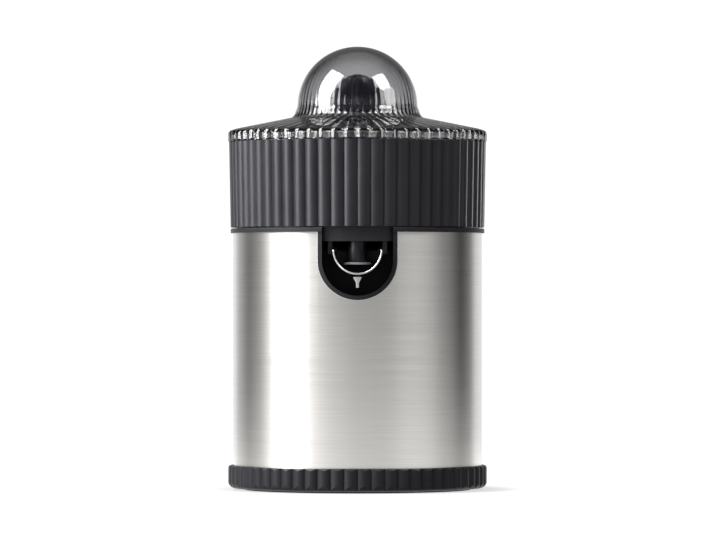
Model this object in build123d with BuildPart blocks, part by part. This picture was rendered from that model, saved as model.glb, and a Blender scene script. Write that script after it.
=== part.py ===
"""Electric citrus juicer: a clear lid, a press-to-start reamer, a strainer and a fluted juice collector
with a tilting spout, standing on a steel-sleeved base that holds the motor, gears and switch.

Lengths are millimetres. The origin is on the vertical axis at the table, +Z is up and the spout faces -Y.
"""

import os
from math import acos, cos, pi, radians, sin, tan

from build123d import *

os.makedirs("parts", exist_ok=True)

# Clearances and overruns
OVERRUN = 2.0
SEAT_GAP = 0.2
PIECE_GAP = 0.3
RUN_CLEARANCE = 0.05
PRESS_CLEARANCE = 0.02
HEX_CLEARANCE = 0.1
SLEEVE_CLEARANCE = 0.1
DROP_IN_CLEARANCE = 0.4

# Flutes shared by the base ring, the collector and the lid
FLUTE_COUNT = 60
FLUTE_DEPTH = 1.5
FRONT_ANGLE = -90.0

# Base ring, bottom plate and foot ring
BASE_OVERHANG = 3.0
BASE_STANDOFF = 1.0
BASE_HEIGHT = 14.0
BASE_BOTTOM_ROUND = 4.0
BASE_TOP_ROUND = 1.6
BASE_WALL = 4.3
LEDGE_WIDTH = 6.0
LEDGE_THICKNESS = 2.5
PLATE_RECESS = 0.5
PLATE_THICKNESS = 2.5
VENT_COUNT = 12
VENT_INSET = 22.0
VENT_LENGTH = 16.0
VENT_WIDTH = 5.0
FOOT_RING_INSET = 5.5
FOOT_RING_WIDTH = 7.0
FOOT_GROOVE_DEPTH = 1.0

# Cord gland
GLAND_BORE_RADIUS = 3.0
GLAND_BODY_RADIUS = 4.0
GLAND_FLANGE_RADIUS = 5.6
GLAND_FLANGE_THICKNESS = 1.5

# Chassis
CHASSIS_RING_WIDTH = 21.7
CHASSIS_RING_THICKNESS = 3.0
COLUMN_RADIUS = 5.5
COLUMN_INSET = 16.0
COLUMN_ANGLE = 25.0

# Fasteners
SCREW_RADIUS = 1.5
SCREW_HEAD_RADIUS = 2.8
SCREW_HEAD_HEIGHT = 1.6
SCREW_SOCKET_RADIUS = 1.4
SCREW_SOCKET_DEPTH = 0.9
BASE_SCREW_LENGTH = 14.0
DECK_SCREW_LENGTH = 14.0
CASE_SCREW_BITE = 10.0
SMALL_SCREW_RADIUS = 1.0
SMALL_HEAD_RADIUS = 1.9
SMALL_HEAD_HEIGHT = 1.2
SMALL_SOCKET_RADIUS = 0.9
SMALL_SOCKET_DEPTH = 0.7
SMALL_SCREW_BITE = 2.4
SCREW_TIP_ROOM = 1.0

# Steel sleeve and its spout notch
SLEEVE_RADIUS = 77.0
SLEEVE_WALL = 0.6
SLEEVE_SHOW_HEIGHT = 143.4
SLEEVE_ENGAGEMENT = 2.4
NOTCH_HALF_WIDTH = 24.2
NOTCH_DEPTH = 41.4

# Top deck with its rim, alcove and shaft boss
RIM_OVERHANG = 1.5
RIM_HEIGHT = 2.8
RIM_ROUND = 0.7
SPIGOT_WALL = 1.4
DECK_DEPTH = 13.2
DECK_THICKNESS = 3.0
SEAT_RING_WIDTH = 3.3
SEAT_RING_HEIGHT = 4.5
TRIM_WALL = 2.5
TRIM_GAP = 0.1
TRIM_PROUD = 0.6
ALCOVE_REAR_ROOM = 5.0
BOSS_RADIUS = 9.2
BOSS_HEIGHT = 8.0
BOSS_DROP = 4.0
SEAL_RADIUS = 7.0
SEAL_HEIGHT = 3.0
POST_RADIUS = 4.5

# Gears
PRESSURE_ANGLE = 25.0
ADDENDUM_SHARE = 0.8
DEDENDUM_SHARE = 1.05
GEAR_BACKLASH = 0.18
FLANK_STEPS = 3
OUTPUT_TEETH = 52
OUTPUT_PINION_TEETH = 14
OUTPUT_MODULE = 1.0
WHEEL_TEETH = 60
MOTOR_PINION_TEETH = 12
WHEEL_MODULE = 0.8
COMPOUND_ANGLE = 90.0
ROTOR_ANGLE = 240.0
OUTPUT_FACE = 10.0
WHEEL_FACE = 6.0
MOTOR_PINION_FACE = 8.0
GEAR_PIN_RADIUS = 2.0

# Gearbox
CASE_WALL = 2.2
CASE_FLOOR = 3.0
CASE_HEIGHT = 29.0
COVER_THICKNESS = 3.0
GEAR_ROOM = 1.5
LUG_RADIUS = 4.5
LUG_OFFSET = 3.6
LUG_HEIGHT = 6.0
FRONT_LUG_ANGLE = -45.0
REAR_LUG_ANGLE = 10.0
PIN_BOSS_RADIUS = 4.5
WHEEL_LEVEL = 9.0
OUTPUT_LEVEL = 18.0
JOURNAL_RADIUS = 7.0
BUSH_WALL = 2.5
LOWER_BUSH_LENGTH = 5.0
THRUST_GAP = 0.4
SHOULDER_RADIUS = 9.0
SHOULDER_LENGTH = 2.0

# Drive shaft, press collar and return spring
SHAFT_RADIUS = 4.0
SHAFT_HEX_ACROSS_FLATS = 6.9
SHAFT_LOWER_HEX_BOTTOM = 4.0
SHAFT_STEP_ROOM = 1.0
SHAFT_HEX_LEAD = 5.1
SHAFT_UPPER_HEX_LENGTH = 36.0
PRESS_TRAVEL = 2.5
COLLAR_RADIUS = 17.0
COLLAR_FLANGE_THICKNESS = 2.0
COLLAR_HUB_RADIUS = 7.0
COLLAR_HUB_ABOVE = 2.7
COLLAR_HUB_BELOW = 2.0
COLLAR_PIN_RADIUS = 0.9
SPRING_LENGTH = 14.0
SPRING_RADIUS = 9.4
SPRING_WIRE_RADIUS = 0.6
SPRING_TURNS = 5

# Microswitch
SWITCH_START = 11.4
SWITCH_LENGTH = 18.0
SWITCH_WIDTH = 6.4
SWITCH_HEIGHT = 10.5
SWITCH_EAR_LENGTH = 7.0
SWITCH_EAR_WIDTH = 5.0
SWITCH_EAR_THICKNESS = 2.0
PLUNGER_RADIUS = 1.5
PLUNGER_INSET = 2.6
PLUNGER_DEPTH = 6.5

# Motor
ROTOR_RADIUS = 10.0
ROTOR_LENGTH = 22.0
ROTOR_SHAFT_RADIUS = 1.6
ROTOR_SHAFT_TAIL = 2.0
AIR_GAP = 0.6
STACK_HEIGHT = 20.0
STACK_DROP = 10.0
LEG_WIDTH = 10.0
LEG_GAP = 14.0
LEG_END_OVERHANG = 13.0
YOKE_END = 36.0
YOKE_WIDTH = 10.0
COIL_START = 0.5
COIL_LENGTH = 24.5
BOBBIN_WALL = 1.0
BOBBIN_FLANGE = 1.2
WINDING_THICKNESS = 4.0
BRACKET_THICKNESS = 3.0
BRACKET_LENGTH = 27.0
BRACKET_WIDTH = 36.0
BRACKET_RISE = 3.0
BRACKET_FOOT_WIDTH = 5.0
MOTOR_BOLT_X = 10.0
MOTOR_BOLT_Y = 13.5
MOTOR_BOSS_RADIUS = 3.5
ROTOR_BUSH_RADIUS = 4.0
ROTOR_BUSH_LENGTH = 4.5
ROTOR_HOLE_ROOM = 0.9

# Terminal block
TERMINAL_LENGTH = 24.0
TERMINAL_WIDTH = 13.0
TERMINAL_HEIGHT = 11.0
TERMINAL_Y = 24.0
TERMINAL_POLES = 3
TERMINAL_WIRE_RADIUS = 1.6
TERMINAL_WIRE_HEIGHT = 4.0
TERMINAL_EDGE_ROUND = 1.0

# Collector
COLLECTOR_OVERHANG = 1.5
COLLECTOR_FLARE = 1.0
COLLECTOR_GAP = 0.7
COLLECTOR_HEIGHT = 52.7
COLLECTOR_WALL = 3.1
COLLECTOR_LIP_WALL = 2.0
COLLECTOR_LIP_DEPTH = 7.6
NECK_WALL = 2.5
NECK_DROP = 9.2
FLOOR_THICKNESS = 2.5
FLOOR_RISE = 8.2
FLOOR_TILT = 2.5
CHIMNEY_BORE_RADIUS = 9.8
CHIMNEY_WALL = 2.5
CHIMNEY_TOP_ROOM = 1.1
OUTLET_INSET = 6.9
OUTLET_BORE_RADIUS = 4.2
OUTLET_RADIUS = 5.4
OUTLET_DROP = 12.9
NOZZLE_RADIUS = 4.9
NOZZLE_LENGTH = 1.6
OUTLET_SEAL_RADIUS = 8.5
OUTLET_SEAL_THICKNESS = 1.2

# Spout
SPOUT_SIDE_ROOM = 3.7
SPOUT_WALL = 1.0
SPOUT_AXIS_DROP = 14.6
SPOUT_PIVOT_SETBACK = 0.5
SPOUT_REACH = 27.5
SPOUT_TAIL = 13.0
SPOUT_LUG_RADIUS = 4.0
SPOUT_PIN_RADIUS = 1.5
SPOUT_PIN_HEAD_RADIUS = 2.4
SPOUT_PIN_HEAD_LENGTH = 1.0
EAR_THICKNESS = 2.6
EAR_RADIUS = 4.0
STOP_LENGTH = 2.5
STOP_HEIGHT = 2.4
NIB_TOP_HALF_WIDTH = 2.65
NIB_STEM_HALF_WIDTH = 0.95
NIB_GAP = 1.8
NIB_HEIGHT = 6.9
NIB_FUNNEL_HEIGHT = 3.2
NIB_THICKNESS = 1.2
NIB_WEB_DEPTH = 2.4

# Strainer and its shaft bush
STRAINER_WALL = 1.5
STRAINER_DEPTH = 9.2
STRAINER_RIM_WIDTH = 3.2
STRAINER_WALL_RUN = 8.5
STRAINER_HUB_RADIUS = 16.0
STRAINER_HUB_RISE = 4.5
SLOT_COUNT = 40
SLOT_WIDTH = 2.0
SLOT_REAMER_MARGIN = 4.5
SLOT_EDGE_MARGIN = 4.0
BUSH_JOURNAL_RADIUS = 7.0
BUSH_FLANGE_RADIUS = 9.0
BUSH_FLANGE_THICKNESS = 1.5
BUSH_TAIL = 2.4
CLIP_THICKNESS = 0.8
CLIP_RADIUS = 8.6
CLIP_GROOVE_DEPTH = 0.8
CLIP_MOUTH = 7.0

# Reamer
REAMER_HEIGHT = 51.0
REAMER_RADIUS = 29.5
REAMER_RIB_COUNT = 8
REAMER_RIB_THICKNESS = 3.0
REAMER_WALL = 2.5
REAMER_HUB_RADIUS = 7.5
REAMER_HUB_RISE = 2.5
REAMER_CAVITY_HEIGHT = 16.0
REAMER_RIB_SHARES = ((0.0, 1.0), (0.18, 0.965), (0.36, 0.895), (0.43, 0.8), (0.48, 0.6), (0.56, 0.38),
                     (0.73, 0.17), (1.0, 0.0))
REAMER_CORE_RADIUS_SHARE = 0.8
REAMER_CORE_HEIGHT_SHARE = 0.965

# Lid
LID_OVERHANG = 0.5
LID_RIM_HEIGHT = 5.0
LID_EDGE_INSET = 1.4
LID_EDGE_RISE = 2.1
LID_SHOULDER_INSET = 5.3
LID_SHOULDER_RISE = 3.2
LID_SHOULDER_CLIMB = 6.4
LID_DOME_RADIUS = 37.2
LID_DOME_FLARE = 1.2
LID_DOME_FLANK = 2.8
LID_NECK_ROUND = 4.5
LID_WALL = 2.5
LID_SPIGOT_WALL = 1.8
LID_SPIGOT_DROP = 4.2
LID_EDGE_DEPTH_SHARE = 0.9
LID_SHOULDER_DEPTH_SHARE = 0.7
LID_NECK_DEPTH_SHARE = 0.35

# Levels worked out from the table up
base_bottom = BASE_STANDOFF
base_top = base_bottom + BASE_HEIGHT
plate_bottom = base_bottom + PLATE_RECESS
plate_top = plate_bottom + PLATE_THICKNESS
ledge_top = plate_top + LEDGE_THICKNESS
sleeve_bottom = base_top - SLEEVE_ENGAGEMENT
sleeve_top = base_top + SLEEVE_SHOW_HEIGHT
rim_top = sleeve_top + RIM_HEIGHT
deck_top = rim_top - DECK_DEPTH
deck_bottom = deck_top - DECK_THICKNESS
seat_top = deck_top + SEAT_RING_HEIGHT
boss_top = deck_top + BOSS_HEIGHT
boss_bottom = deck_bottom - BOSS_DROP
collar_hub_top = boss_bottom - PIECE_GAP
collar_bottom = collar_hub_top - COLLAR_HUB_ABOVE - COLLAR_FLANGE_THICKNESS
cover_top = collar_bottom - SPRING_LENGTH
case_top = cover_top - COVER_THICKNESS
case_bottom = case_top - CASE_HEIGHT
case_floor = case_bottom + CASE_FLOOR
wheel_level = case_bottom + WHEEL_LEVEL
output_level = case_bottom + OUTPUT_LEVEL
collector_bottom = rim_top + COLLECTOR_GAP
collector_top = collector_bottom + COLLECTOR_HEIGHT
neck_bottom = collector_bottom - NECK_DROP
strainer_seat = collector_top - COLLECTOR_LIP_DEPTH + SEAT_GAP
strainer_floor = strainer_seat - STRAINER_DEPTH
strainer_floor_top = strainer_floor + STRAINER_WALL
hub_top = strainer_floor_top + STRAINER_HUB_RISE
roof_bottom = hub_top - STRAINER_WALL
bush_bottom = roof_bottom - BUSH_TAIL
bush_flange_bottom = hub_top + SEAT_GAP
bush_flange_top = bush_flange_bottom + BUSH_FLANGE_THICKNESS
reamer_hub_bottom = bush_flange_top + PRESS_TRAVEL + PIECE_GAP
reamer_bottom = reamer_hub_bottom - REAMER_HUB_RISE
lid_bottom = collector_top + SEAT_GAP
notch_centre = sleeve_top - NOTCH_DEPTH + NOTCH_HALF_WIDTH

# Radii worked out from neighbours
groove_outer = SLEEVE_RADIUS + SLEEVE_CLEARANCE
groove_inner = SLEEVE_RADIUS - SLEEVE_WALL - SLEEVE_CLEARANCE
spigot_outer = groove_inner - SLEEVE_CLEARANCE
spigot_inner = spigot_outer - SPIGOT_WALL
neck_outer = spigot_inner - DROP_IN_CLEARANCE
neck_inner = neck_outer - NECK_WALL
alcove_half = NOTCH_HALF_WIDTH - TRIM_GAP
alcove_inner_half = alcove_half - TRIM_WALL
trim_radius = SLEEVE_RADIUS + TRIM_PROUD
base_radius = SLEEVE_RADIUS + BASE_OVERHANG
base_inner = groove_inner - BASE_WALL
foot_ring_radius = base_inner - FOOT_RING_INSET
chassis_outer = base_inner - PIECE_GAP
column_circle = base_inner - COLUMN_INSET
rim_radius = SLEEVE_RADIUS + RIM_OVERHANG
collector_bottom_radius = SLEEVE_RADIUS + COLLECTOR_OVERHANG
collector_top_radius = collector_bottom_radius + COLLECTOR_FLARE
collector_inner = collector_bottom_radius - FLUTE_DEPTH - COLLECTOR_WALL
collector_lip = collector_top_radius - FLUTE_DEPTH - COLLECTOR_LIP_WALL
strainer_rim_radius = collector_lip - PIECE_GAP
strainer_wall_top = strainer_rim_radius - STRAINER_RIM_WIDTH
strainer_floor_radius = strainer_wall_top - STRAINER_WALL_RUN
lid_radius = collector_top_radius + LID_OVERHANG
spout_outer = alcove_inner_half - SPOUT_SIDE_ROOM - EAR_THICKNESS - PIECE_GAP
spout_inner = spout_outer - SPOUT_WALL
outlet_y = OUTLET_INSET - neck_inner
spout_pivot_y = outlet_y + SPOUT_PIVOT_SETBACK
spout_lip_y = spout_pivot_y - SPOUT_REACH
spout_rear_y = spout_pivot_y + SPOUT_TAIL
alcove_rear = -spout_rear_y - ALCOVE_REAR_ROOM - TRIM_WALL
gland_level = (base_bottom + sleeve_bottom) / 2
screw_hole = SCREW_RADIUS + RUN_CLEARANCE
small_hole = SMALL_SCREW_RADIUS + RUN_CLEARANCE


def polar(radius, angle):
    """Point at a radius and an angle in degrees."""
    return (radius * cos(radians(angle)), radius * sin(radians(angle)))


def fluted_face(crest_radius, depth, level):
    """Face bounded by convex flutes, with a valley on the front centre line."""
    pitch = 360 / FLUTE_COUNT
    valley_radius = crest_radius - depth
    with BuildSketch(Plane.XY.offset(level)) as face:
        with BuildLine():
            for index in range(FLUTE_COUNT):
                start = FRONT_ANGLE + index * pitch
                ThreePointArc(
                    polar(valley_radius, start),
                    polar(crest_radius, start + pitch / 2),
                    polar(valley_radius, start + pitch),
                )
        make_face()
    return face.sketch


def notch_face(half_width, top, distance):
    """Round-bottomed notch outline on the upright plane that far in front of the axis."""
    with BuildSketch(Plane.XZ.offset(distance)) as face:
        with Locations((0, notch_centre)):
            Circle(half_width)
        with Locations((0, (notch_centre + top) / 2)):
            Rectangle(2 * half_width, top - notch_centre)
    return face.sketch


def involute(angle):
    """Involute function of an angle in radians."""
    return tan(angle) - angle


def gear_face(teeth, module, tooth_angle, centre, level):
    """Spur gear outline with involute flanks and one tooth centred on the given angle."""
    pitch_radius = module * teeth / 2
    base_radius = pitch_radius * cos(radians(PRESSURE_ANGLE))
    tip_radius = pitch_radius + ADDENDUM_SHARE * module
    root_radius = pitch_radius - DEDENDUM_SHARE * module
    half_tooth = pi / (2 * teeth) - GEAR_BACKLASH / (4 * pitch_radius)
    foot_radius = max(base_radius, root_radius)
    flank = []
    for step in range(FLANK_STEPS):
        radius = foot_radius + (tip_radius - foot_radius) * step / (FLANK_STEPS - 1)
        roll = acos(base_radius / radius) if radius > base_radius else 0
        lean = half_tooth + involute(radians(PRESSURE_ANGLE)) - involute(roll)
        flank.append((radius, lean * 180 / pi))
    if root_radius < foot_radius:
        flank.insert(0, (root_radius, flank[0][1]))
    points = []
    for tooth in range(teeth):
        middle = tooth_angle + tooth * 360 / teeth
        points += [polar(radius, middle - lean) for radius, lean in flank]
        points += [polar(radius, middle + lean) for radius, lean in reversed(flank)]
    with BuildSketch(Plane((centre[0], centre[1], level))) as face:
        with BuildLine():
            Polyline(*points, close=True)
        make_face()
    return face.sketch


def hull_face(front_radius, rear_radius, level):
    """Outline of two circles, round the output axis and the compound axis, joined by straight sides."""
    with BuildSketch(Plane.XY.offset(level)) as face:
        Circle(front_radius)
        with Locations(compound_centre):
            Circle(rear_radius)
        make_hull()
    return face.sketch


def discs(radius, points, level, height, mode=Mode.ADD):
    """Upright cylinders of one radius at the given points, from one level up or down."""
    with BuildSketch(Plane.XY.offset(level)) as faces:
        with Locations(*points):
            Circle(radius)
    extrude(faces.sketch, amount=height, mode=mode)


def tube(outer, inner, centre, level, height):
    """Upright tube round a centre."""
    with BuildSketch(Plane((centre[0], centre[1], level))) as face:
        Circle(outer)
        Circle(inner, mode=Mode.SUBTRACT)
    extrude(face.sketch, amount=height)


def hex_bar(across_flats, level, height, mode=Mode.ADD):
    """Upright hexagonal bar or bore on the main axis."""
    with BuildSketch(Plane.XY.offset(level)) as face:
        RegularPolygon(across_flats / 2, 6, major_radius=False)
    extrude(face.sketch, amount=height, mode=mode)


def screws(points, seat, length, sense):
    """Pan-head screws whose shanks run from a seat level up (sense 1) or down (sense -1)."""
    discs(SCREW_HEAD_RADIUS, points, seat, -sense * SCREW_HEAD_HEIGHT)
    discs(SCREW_RADIUS, points, seat, sense * length)
    head_face = seat - sense * SCREW_HEAD_HEIGHT
    discs(SCREW_SOCKET_RADIUS, points, head_face, sense * SCREW_SOCKET_DEPTH, Mode.SUBTRACT)


def small_screws(points, seat, length):
    """Small pan-head screws driven downwards from a seat level."""
    discs(SMALL_HEAD_RADIUS, points, seat, SMALL_HEAD_HEIGHT)
    discs(SMALL_SCREW_RADIUS, points, seat, -length)
    discs(SMALL_SOCKET_RADIUS, points, seat + SMALL_HEAD_HEIGHT, -SMALL_SOCKET_DEPTH, Mode.SUBTRACT)


def finish(builder, name):
    """Label a finished piece and write it out."""
    builder.part.label = name
    export_step(builder.part, f"parts/{name}.step")


# Places shared by several pieces
compound_distance = OUTPUT_MODULE * (OUTPUT_TEETH + OUTPUT_PINION_TEETH) / 2
compound_centre = polar(compound_distance, COMPOUND_ANGLE)
rotor_distance = WHEEL_MODULE * (WHEEL_TEETH + MOTOR_PINION_TEETH) / 2
rotor_offset = polar(rotor_distance, ROTOR_ANGLE)
rotor_centre = (compound_centre[0] + rotor_offset[0], compound_centre[1] + rotor_offset[1])
output_tip = OUTPUT_MODULE * (OUTPUT_TEETH / 2 + ADDENDUM_SHARE)
wheel_tip = WHEEL_MODULE * (WHEEL_TEETH / 2 + ADDENDUM_SHARE)
case_front = output_tip + GEAR_ROOM + CASE_WALL
case_rear = wheel_tip + GEAR_ROOM + CASE_WALL
column_x, column_y = polar(column_circle, COLUMN_ANGLE)
column_points = [(side_x * column_x, side_y * column_y) for side_x in (1, -1) for side_y in (1, -1)]
lug_points = []
for lug_side in (1, -1):
    front_lug = polar(case_front + LUG_OFFSET, FRONT_LUG_ANGLE)
    rear_lug = polar(case_rear + LUG_OFFSET, REAR_LUG_ANGLE)
    lug_points.append((lug_side * front_lug[0], front_lug[1]))
    lug_points.append((lug_side * rear_lug[0], compound_centre[1] + rear_lug[1]))
bolt_points = [
    (rotor_centre[0] + side_x * MOTOR_BOLT_X, rotor_centre[1] + side_y * MOTOR_BOLT_Y)
    for side_x, side_y in ((1, 1), (-1, 1), (-1, -1))
]

# Base ring: a fluted ring with a groove for the sleeve and a ledge for the chassis
with BuildPart() as base_ring:
    extrude(fluted_face(base_radius, FLUTE_DEPTH, base_bottom), amount=BASE_HEIGHT)
    with BuildSketch(Plane.XZ):
        with BuildLine():
            Polyline(
                (base_radius - BASE_TOP_ROUND, base_top),
                (groove_outer, base_top),
                (groove_outer, sleeve_bottom),
                (groove_inner, sleeve_bottom),
                (groove_inner, base_top),
                (base_inner, base_top),
                (base_inner, ledge_top),
                (base_inner - LEDGE_WIDTH, ledge_top),
                (base_inner - LEDGE_WIDTH, plate_top),
                (base_inner, plate_top),
                (base_inner, base_bottom),
                (base_radius - BASE_BOTTOM_ROUND, base_bottom),
            )
            TangentArc(
                (base_radius - BASE_BOTTOM_ROUND, base_bottom),
                (base_radius, base_bottom + BASE_BOTTOM_ROUND),
                tangent=(1, 0),
            )
            Line((base_radius, base_bottom + BASE_BOTTOM_ROUND), (base_radius, base_top - BASE_TOP_ROUND))
            TangentArc(
                (base_radius, base_top - BASE_TOP_ROUND),
                (base_radius - BASE_TOP_ROUND, base_top),
                tangent=(0, 1),
            )
        make_face()
    revolve(axis=Axis.Z, mode=Mode.INTERSECT)
    with BuildSketch(Plane.XZ.offset(-base_radius - OVERRUN)):
        with Locations((0, gland_level)):
            Circle(GLAND_BODY_RADIUS + PRESS_CLEARANCE)
    extrude(amount=base_radius + OVERRUN - base_inner + OVERRUN, mode=Mode.SUBTRACT)
finish(base_ring, "base_ring")

# Bottom plate: closes the base, with vents, screw pads and the groove of the foot ring
with BuildPart() as bottom_plate:
    discs(chassis_outer, [(0, 0)], plate_bottom, PLATE_THICKNESS)
    discs(COLUMN_RADIUS, column_points, plate_top, LEDGE_THICKNESS)
    with BuildSketch(Plane.XY.offset(plate_bottom)):
        Circle(foot_ring_radius + FOOT_RING_WIDTH / 2 + PRESS_CLEARANCE)
        Circle(foot_ring_radius - FOOT_RING_WIDTH / 2 - PRESS_CLEARANCE, mode=Mode.SUBTRACT)
    extrude(amount=FOOT_GROOVE_DEPTH, mode=Mode.SUBTRACT)
    with BuildSketch(Plane.XY.offset(plate_bottom)):
        with PolarLocations(column_circle - VENT_INSET, VENT_COUNT):
            SlotOverall(VENT_LENGTH, VENT_WIDTH)
    extrude(amount=PLATE_THICKNESS, mode=Mode.SUBTRACT)
    discs(screw_hole, column_points, plate_bottom, PLATE_THICKNESS + LEDGE_THICKNESS, Mode.SUBTRACT)
    discs(SCREW_HEAD_RADIUS + PIECE_GAP, column_points, plate_bottom, SCREW_HEAD_HEIGHT, Mode.SUBTRACT)
finish(bottom_plate, "bottom_plate")

with BuildPart() as foot_ring:
    tube(
        foot_ring_radius + FOOT_RING_WIDTH / 2,
        foot_ring_radius - FOOT_RING_WIDTH / 2,
        (0, 0),
        0,
        plate_bottom + FOOT_GROOVE_DEPTH,
    )
finish(foot_ring, "foot_ring")

with BuildPart() as base_screws:
    screws(column_points, plate_bottom + SCREW_HEAD_HEIGHT, BASE_SCREW_LENGTH, 1)
finish(base_screws, "base_screws")

# Cord gland: a flanged bush through the rear wall of the base ring
with BuildPart() as cord_gland:
    with BuildSketch(Plane.XZ.offset(-base_inner)):
        with Locations((0, gland_level)):
            Circle(GLAND_BODY_RADIUS)
    extrude(amount=base_inner - base_radius)
    with BuildSketch(Plane.XZ.offset(-base_radius)):
        with Locations((0, gland_level)):
            Circle(GLAND_FLANGE_RADIUS)
    extrude(amount=-GLAND_FLANGE_THICKNESS)
    with BuildSketch(Plane.XZ.offset(-base_inner)):
        with Locations((0, gland_level)):
            Circle(GLAND_BORE_RADIUS)
    extrude(amount=base_inner - base_radius - GLAND_FLANGE_THICKNESS, mode=Mode.SUBTRACT)
finish(cord_gland, "cord_gland")

# Chassis: a ring on the base ledge with four columns that carry the top deck
with BuildPart() as chassis:
    tube(
        chassis_outer,
        chassis_outer - CHASSIS_RING_WIDTH,
        (0, 0),
        ledge_top,
        CHASSIS_RING_THICKNESS,
    )
    discs(COLUMN_RADIUS, column_points, ledge_top, deck_bottom - ledge_top)
    discs(screw_hole, column_points, ledge_top, BASE_SCREW_LENGTH, Mode.SUBTRACT)
    discs(screw_hole, column_points, deck_bottom, -DECK_SCREW_LENGTH, Mode.SUBTRACT)
finish(chassis, "chassis")

# Steel sleeve with the spout notch
with BuildPart() as sleeve:
    tube(SLEEVE_RADIUS, SLEEVE_RADIUS - SLEEVE_WALL, (0, 0), sleeve_bottom, sleeve_top - sleeve_bottom)
    extrude(
        notch_face(NOTCH_HALF_WIDTH, sleeve_top + OVERRUN, 0),
        amount=SLEEVE_RADIUS + OVERRUN,
        mode=Mode.SUBTRACT,
    )
finish(sleeve, "sleeve")

# Top deck: rim, seat ring, spout alcove, shaft boss and the posts that carry the gearbox
with BuildPart() as top_deck:
    extrude(notch_face(alcove_half, rim_top, alcove_rear), amount=SLEEVE_RADIUS + OVERRUN - alcove_rear)
    with BuildSketch(Plane.XY.offset(notch_centre - NOTCH_HALF_WIDTH)):
        Circle(trim_radius)
    extrude(amount=rim_top - notch_centre + NOTCH_HALF_WIDTH, mode=Mode.INTERSECT)
    discs(spigot_inner, [(0, 0)], deck_top, rim_top - deck_top, Mode.SUBTRACT)
    with BuildSketch(Plane.XZ):
        with BuildLine():
            Polyline(
                (rim_radius - RIM_ROUND, rim_top),
                (spigot_inner, rim_top),
                (spigot_inner, seat_top),
                (spigot_inner - SEAT_RING_WIDTH, seat_top),
                (spigot_inner - SEAT_RING_WIDTH, deck_top),
                (BOSS_RADIUS, deck_top),
                (BOSS_RADIUS, boss_top),
                (0, boss_top),
                (0, boss_bottom),
                (BOSS_RADIUS, boss_bottom),
                (BOSS_RADIUS, deck_bottom),
                (spigot_outer, deck_bottom),
                (spigot_outer, sleeve_top),
                (rim_radius, sleeve_top),
                (rim_radius, rim_top - RIM_ROUND),
            )
            TangentArc((rim_radius, rim_top - RIM_ROUND), (rim_radius - RIM_ROUND, rim_top), tangent=(0, 1))
        make_face()
    revolve(axis=Axis.Z)
    extrude(
        notch_face(alcove_inner_half, rim_top + OVERRUN, alcove_rear + TRIM_WALL),
        amount=rim_radius + OVERRUN - alcove_rear,
        mode=Mode.SUBTRACT,
    )
    discs(POST_RADIUS, lug_points, deck_bottom, cover_top - deck_bottom)
    discs(screw_hole, lug_points, cover_top, CASE_SCREW_BITE, Mode.SUBTRACT)
    discs(screw_hole, column_points, deck_bottom, DECK_THICKNESS, Mode.SUBTRACT)
    discs(SHAFT_RADIUS + PIECE_GAP, [(0, 0)], boss_bottom, boss_top - boss_bottom, Mode.SUBTRACT)
    discs(SEAL_RADIUS + PRESS_CLEARANCE, [(0, 0)], boss_top, -SEAL_HEIGHT, Mode.SUBTRACT)
finish(top_deck, "top_deck")

with BuildPart() as deck_screws:
    screws(column_points, deck_top, DECK_SCREW_LENGTH, -1)
finish(deck_screws, "deck_screws")

with BuildPart() as shaft_seal:
    tube(SEAL_RADIUS, SHAFT_RADIUS + RUN_CLEARANCE, (0, 0), boss_top - SEAL_HEIGHT, SEAL_HEIGHT)
finish(shaft_seal, "shaft_seal")

# Gearbox case: floor, walls, lugs and the bosses that the motor hangs from
bush_radius = JOURNAL_RADIUS + BUSH_WALL
pin_boss_top = wheel_level - THRUST_GAP
with BuildPart() as gearbox_case:
    extrude(hull_face(case_front, case_rear, case_bottom), amount=CASE_HEIGHT)
    extrude(
        hull_face(case_front - CASE_WALL, case_rear - CASE_WALL, case_floor),
        amount=CASE_HEIGHT - CASE_FLOOR,
        mode=Mode.SUBTRACT,
    )
    with BuildSketch(Plane.XY.offset(case_top - LUG_HEIGHT)):
        with Locations(*lug_points):
            Circle(LUG_RADIUS)
        add(hull_face(case_front - CASE_WALL, case_rear - CASE_WALL, 0), mode=Mode.SUBTRACT)
    extrude(amount=LUG_HEIGHT)
    discs(PIN_BOSS_RADIUS, [compound_centre], case_floor, pin_boss_top - case_floor)
    discs(GEAR_PIN_RADIUS + PRESS_CLEARANCE, [compound_centre], case_bottom, CASE_HEIGHT, Mode.SUBTRACT)
    discs(bush_radius + PRESS_CLEARANCE, [(0, 0)], case_bottom, CASE_FLOOR, Mode.SUBTRACT)
    discs(ROTOR_SHAFT_RADIUS + ROTOR_HOLE_ROOM, [rotor_centre], case_bottom, CASE_FLOOR, Mode.SUBTRACT)
    discs(screw_hole, lug_points, case_top - LUG_HEIGHT, LUG_HEIGHT, Mode.SUBTRACT)
    discs(screw_hole, bolt_points, case_bottom, CASE_FLOOR, Mode.SUBTRACT)
finish(gearbox_case, "gearbox_case")

with BuildPart() as gearbox_cover:
    extrude(hull_face(case_front, case_rear, case_top), amount=COVER_THICKNESS)
    discs(LUG_RADIUS, lug_points, case_top, COVER_THICKNESS)
    discs(screw_hole, lug_points, case_top, COVER_THICKNESS, Mode.SUBTRACT)
    discs(bush_radius + PRESS_CLEARANCE, [(0, 0)], case_top, COVER_THICKNESS, Mode.SUBTRACT)
    discs(GEAR_PIN_RADIUS + PRESS_CLEARANCE, [compound_centre], case_top, COVER_THICKNESS, Mode.SUBTRACT)
    switch_ear_y = SWITCH_WIDTH / 2 + SWITCH_EAR_WIDTH / 2
    switch_ear_x = SWITCH_START + SWITCH_LENGTH - SWITCH_EAR_LENGTH / 2
    switch_ears = [(switch_ear_x, switch_ear_y), (switch_ear_x, -switch_ear_y)]
    discs(small_hole, switch_ears, cover_top, -SMALL_SCREW_BITE, Mode.SUBTRACT)
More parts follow.
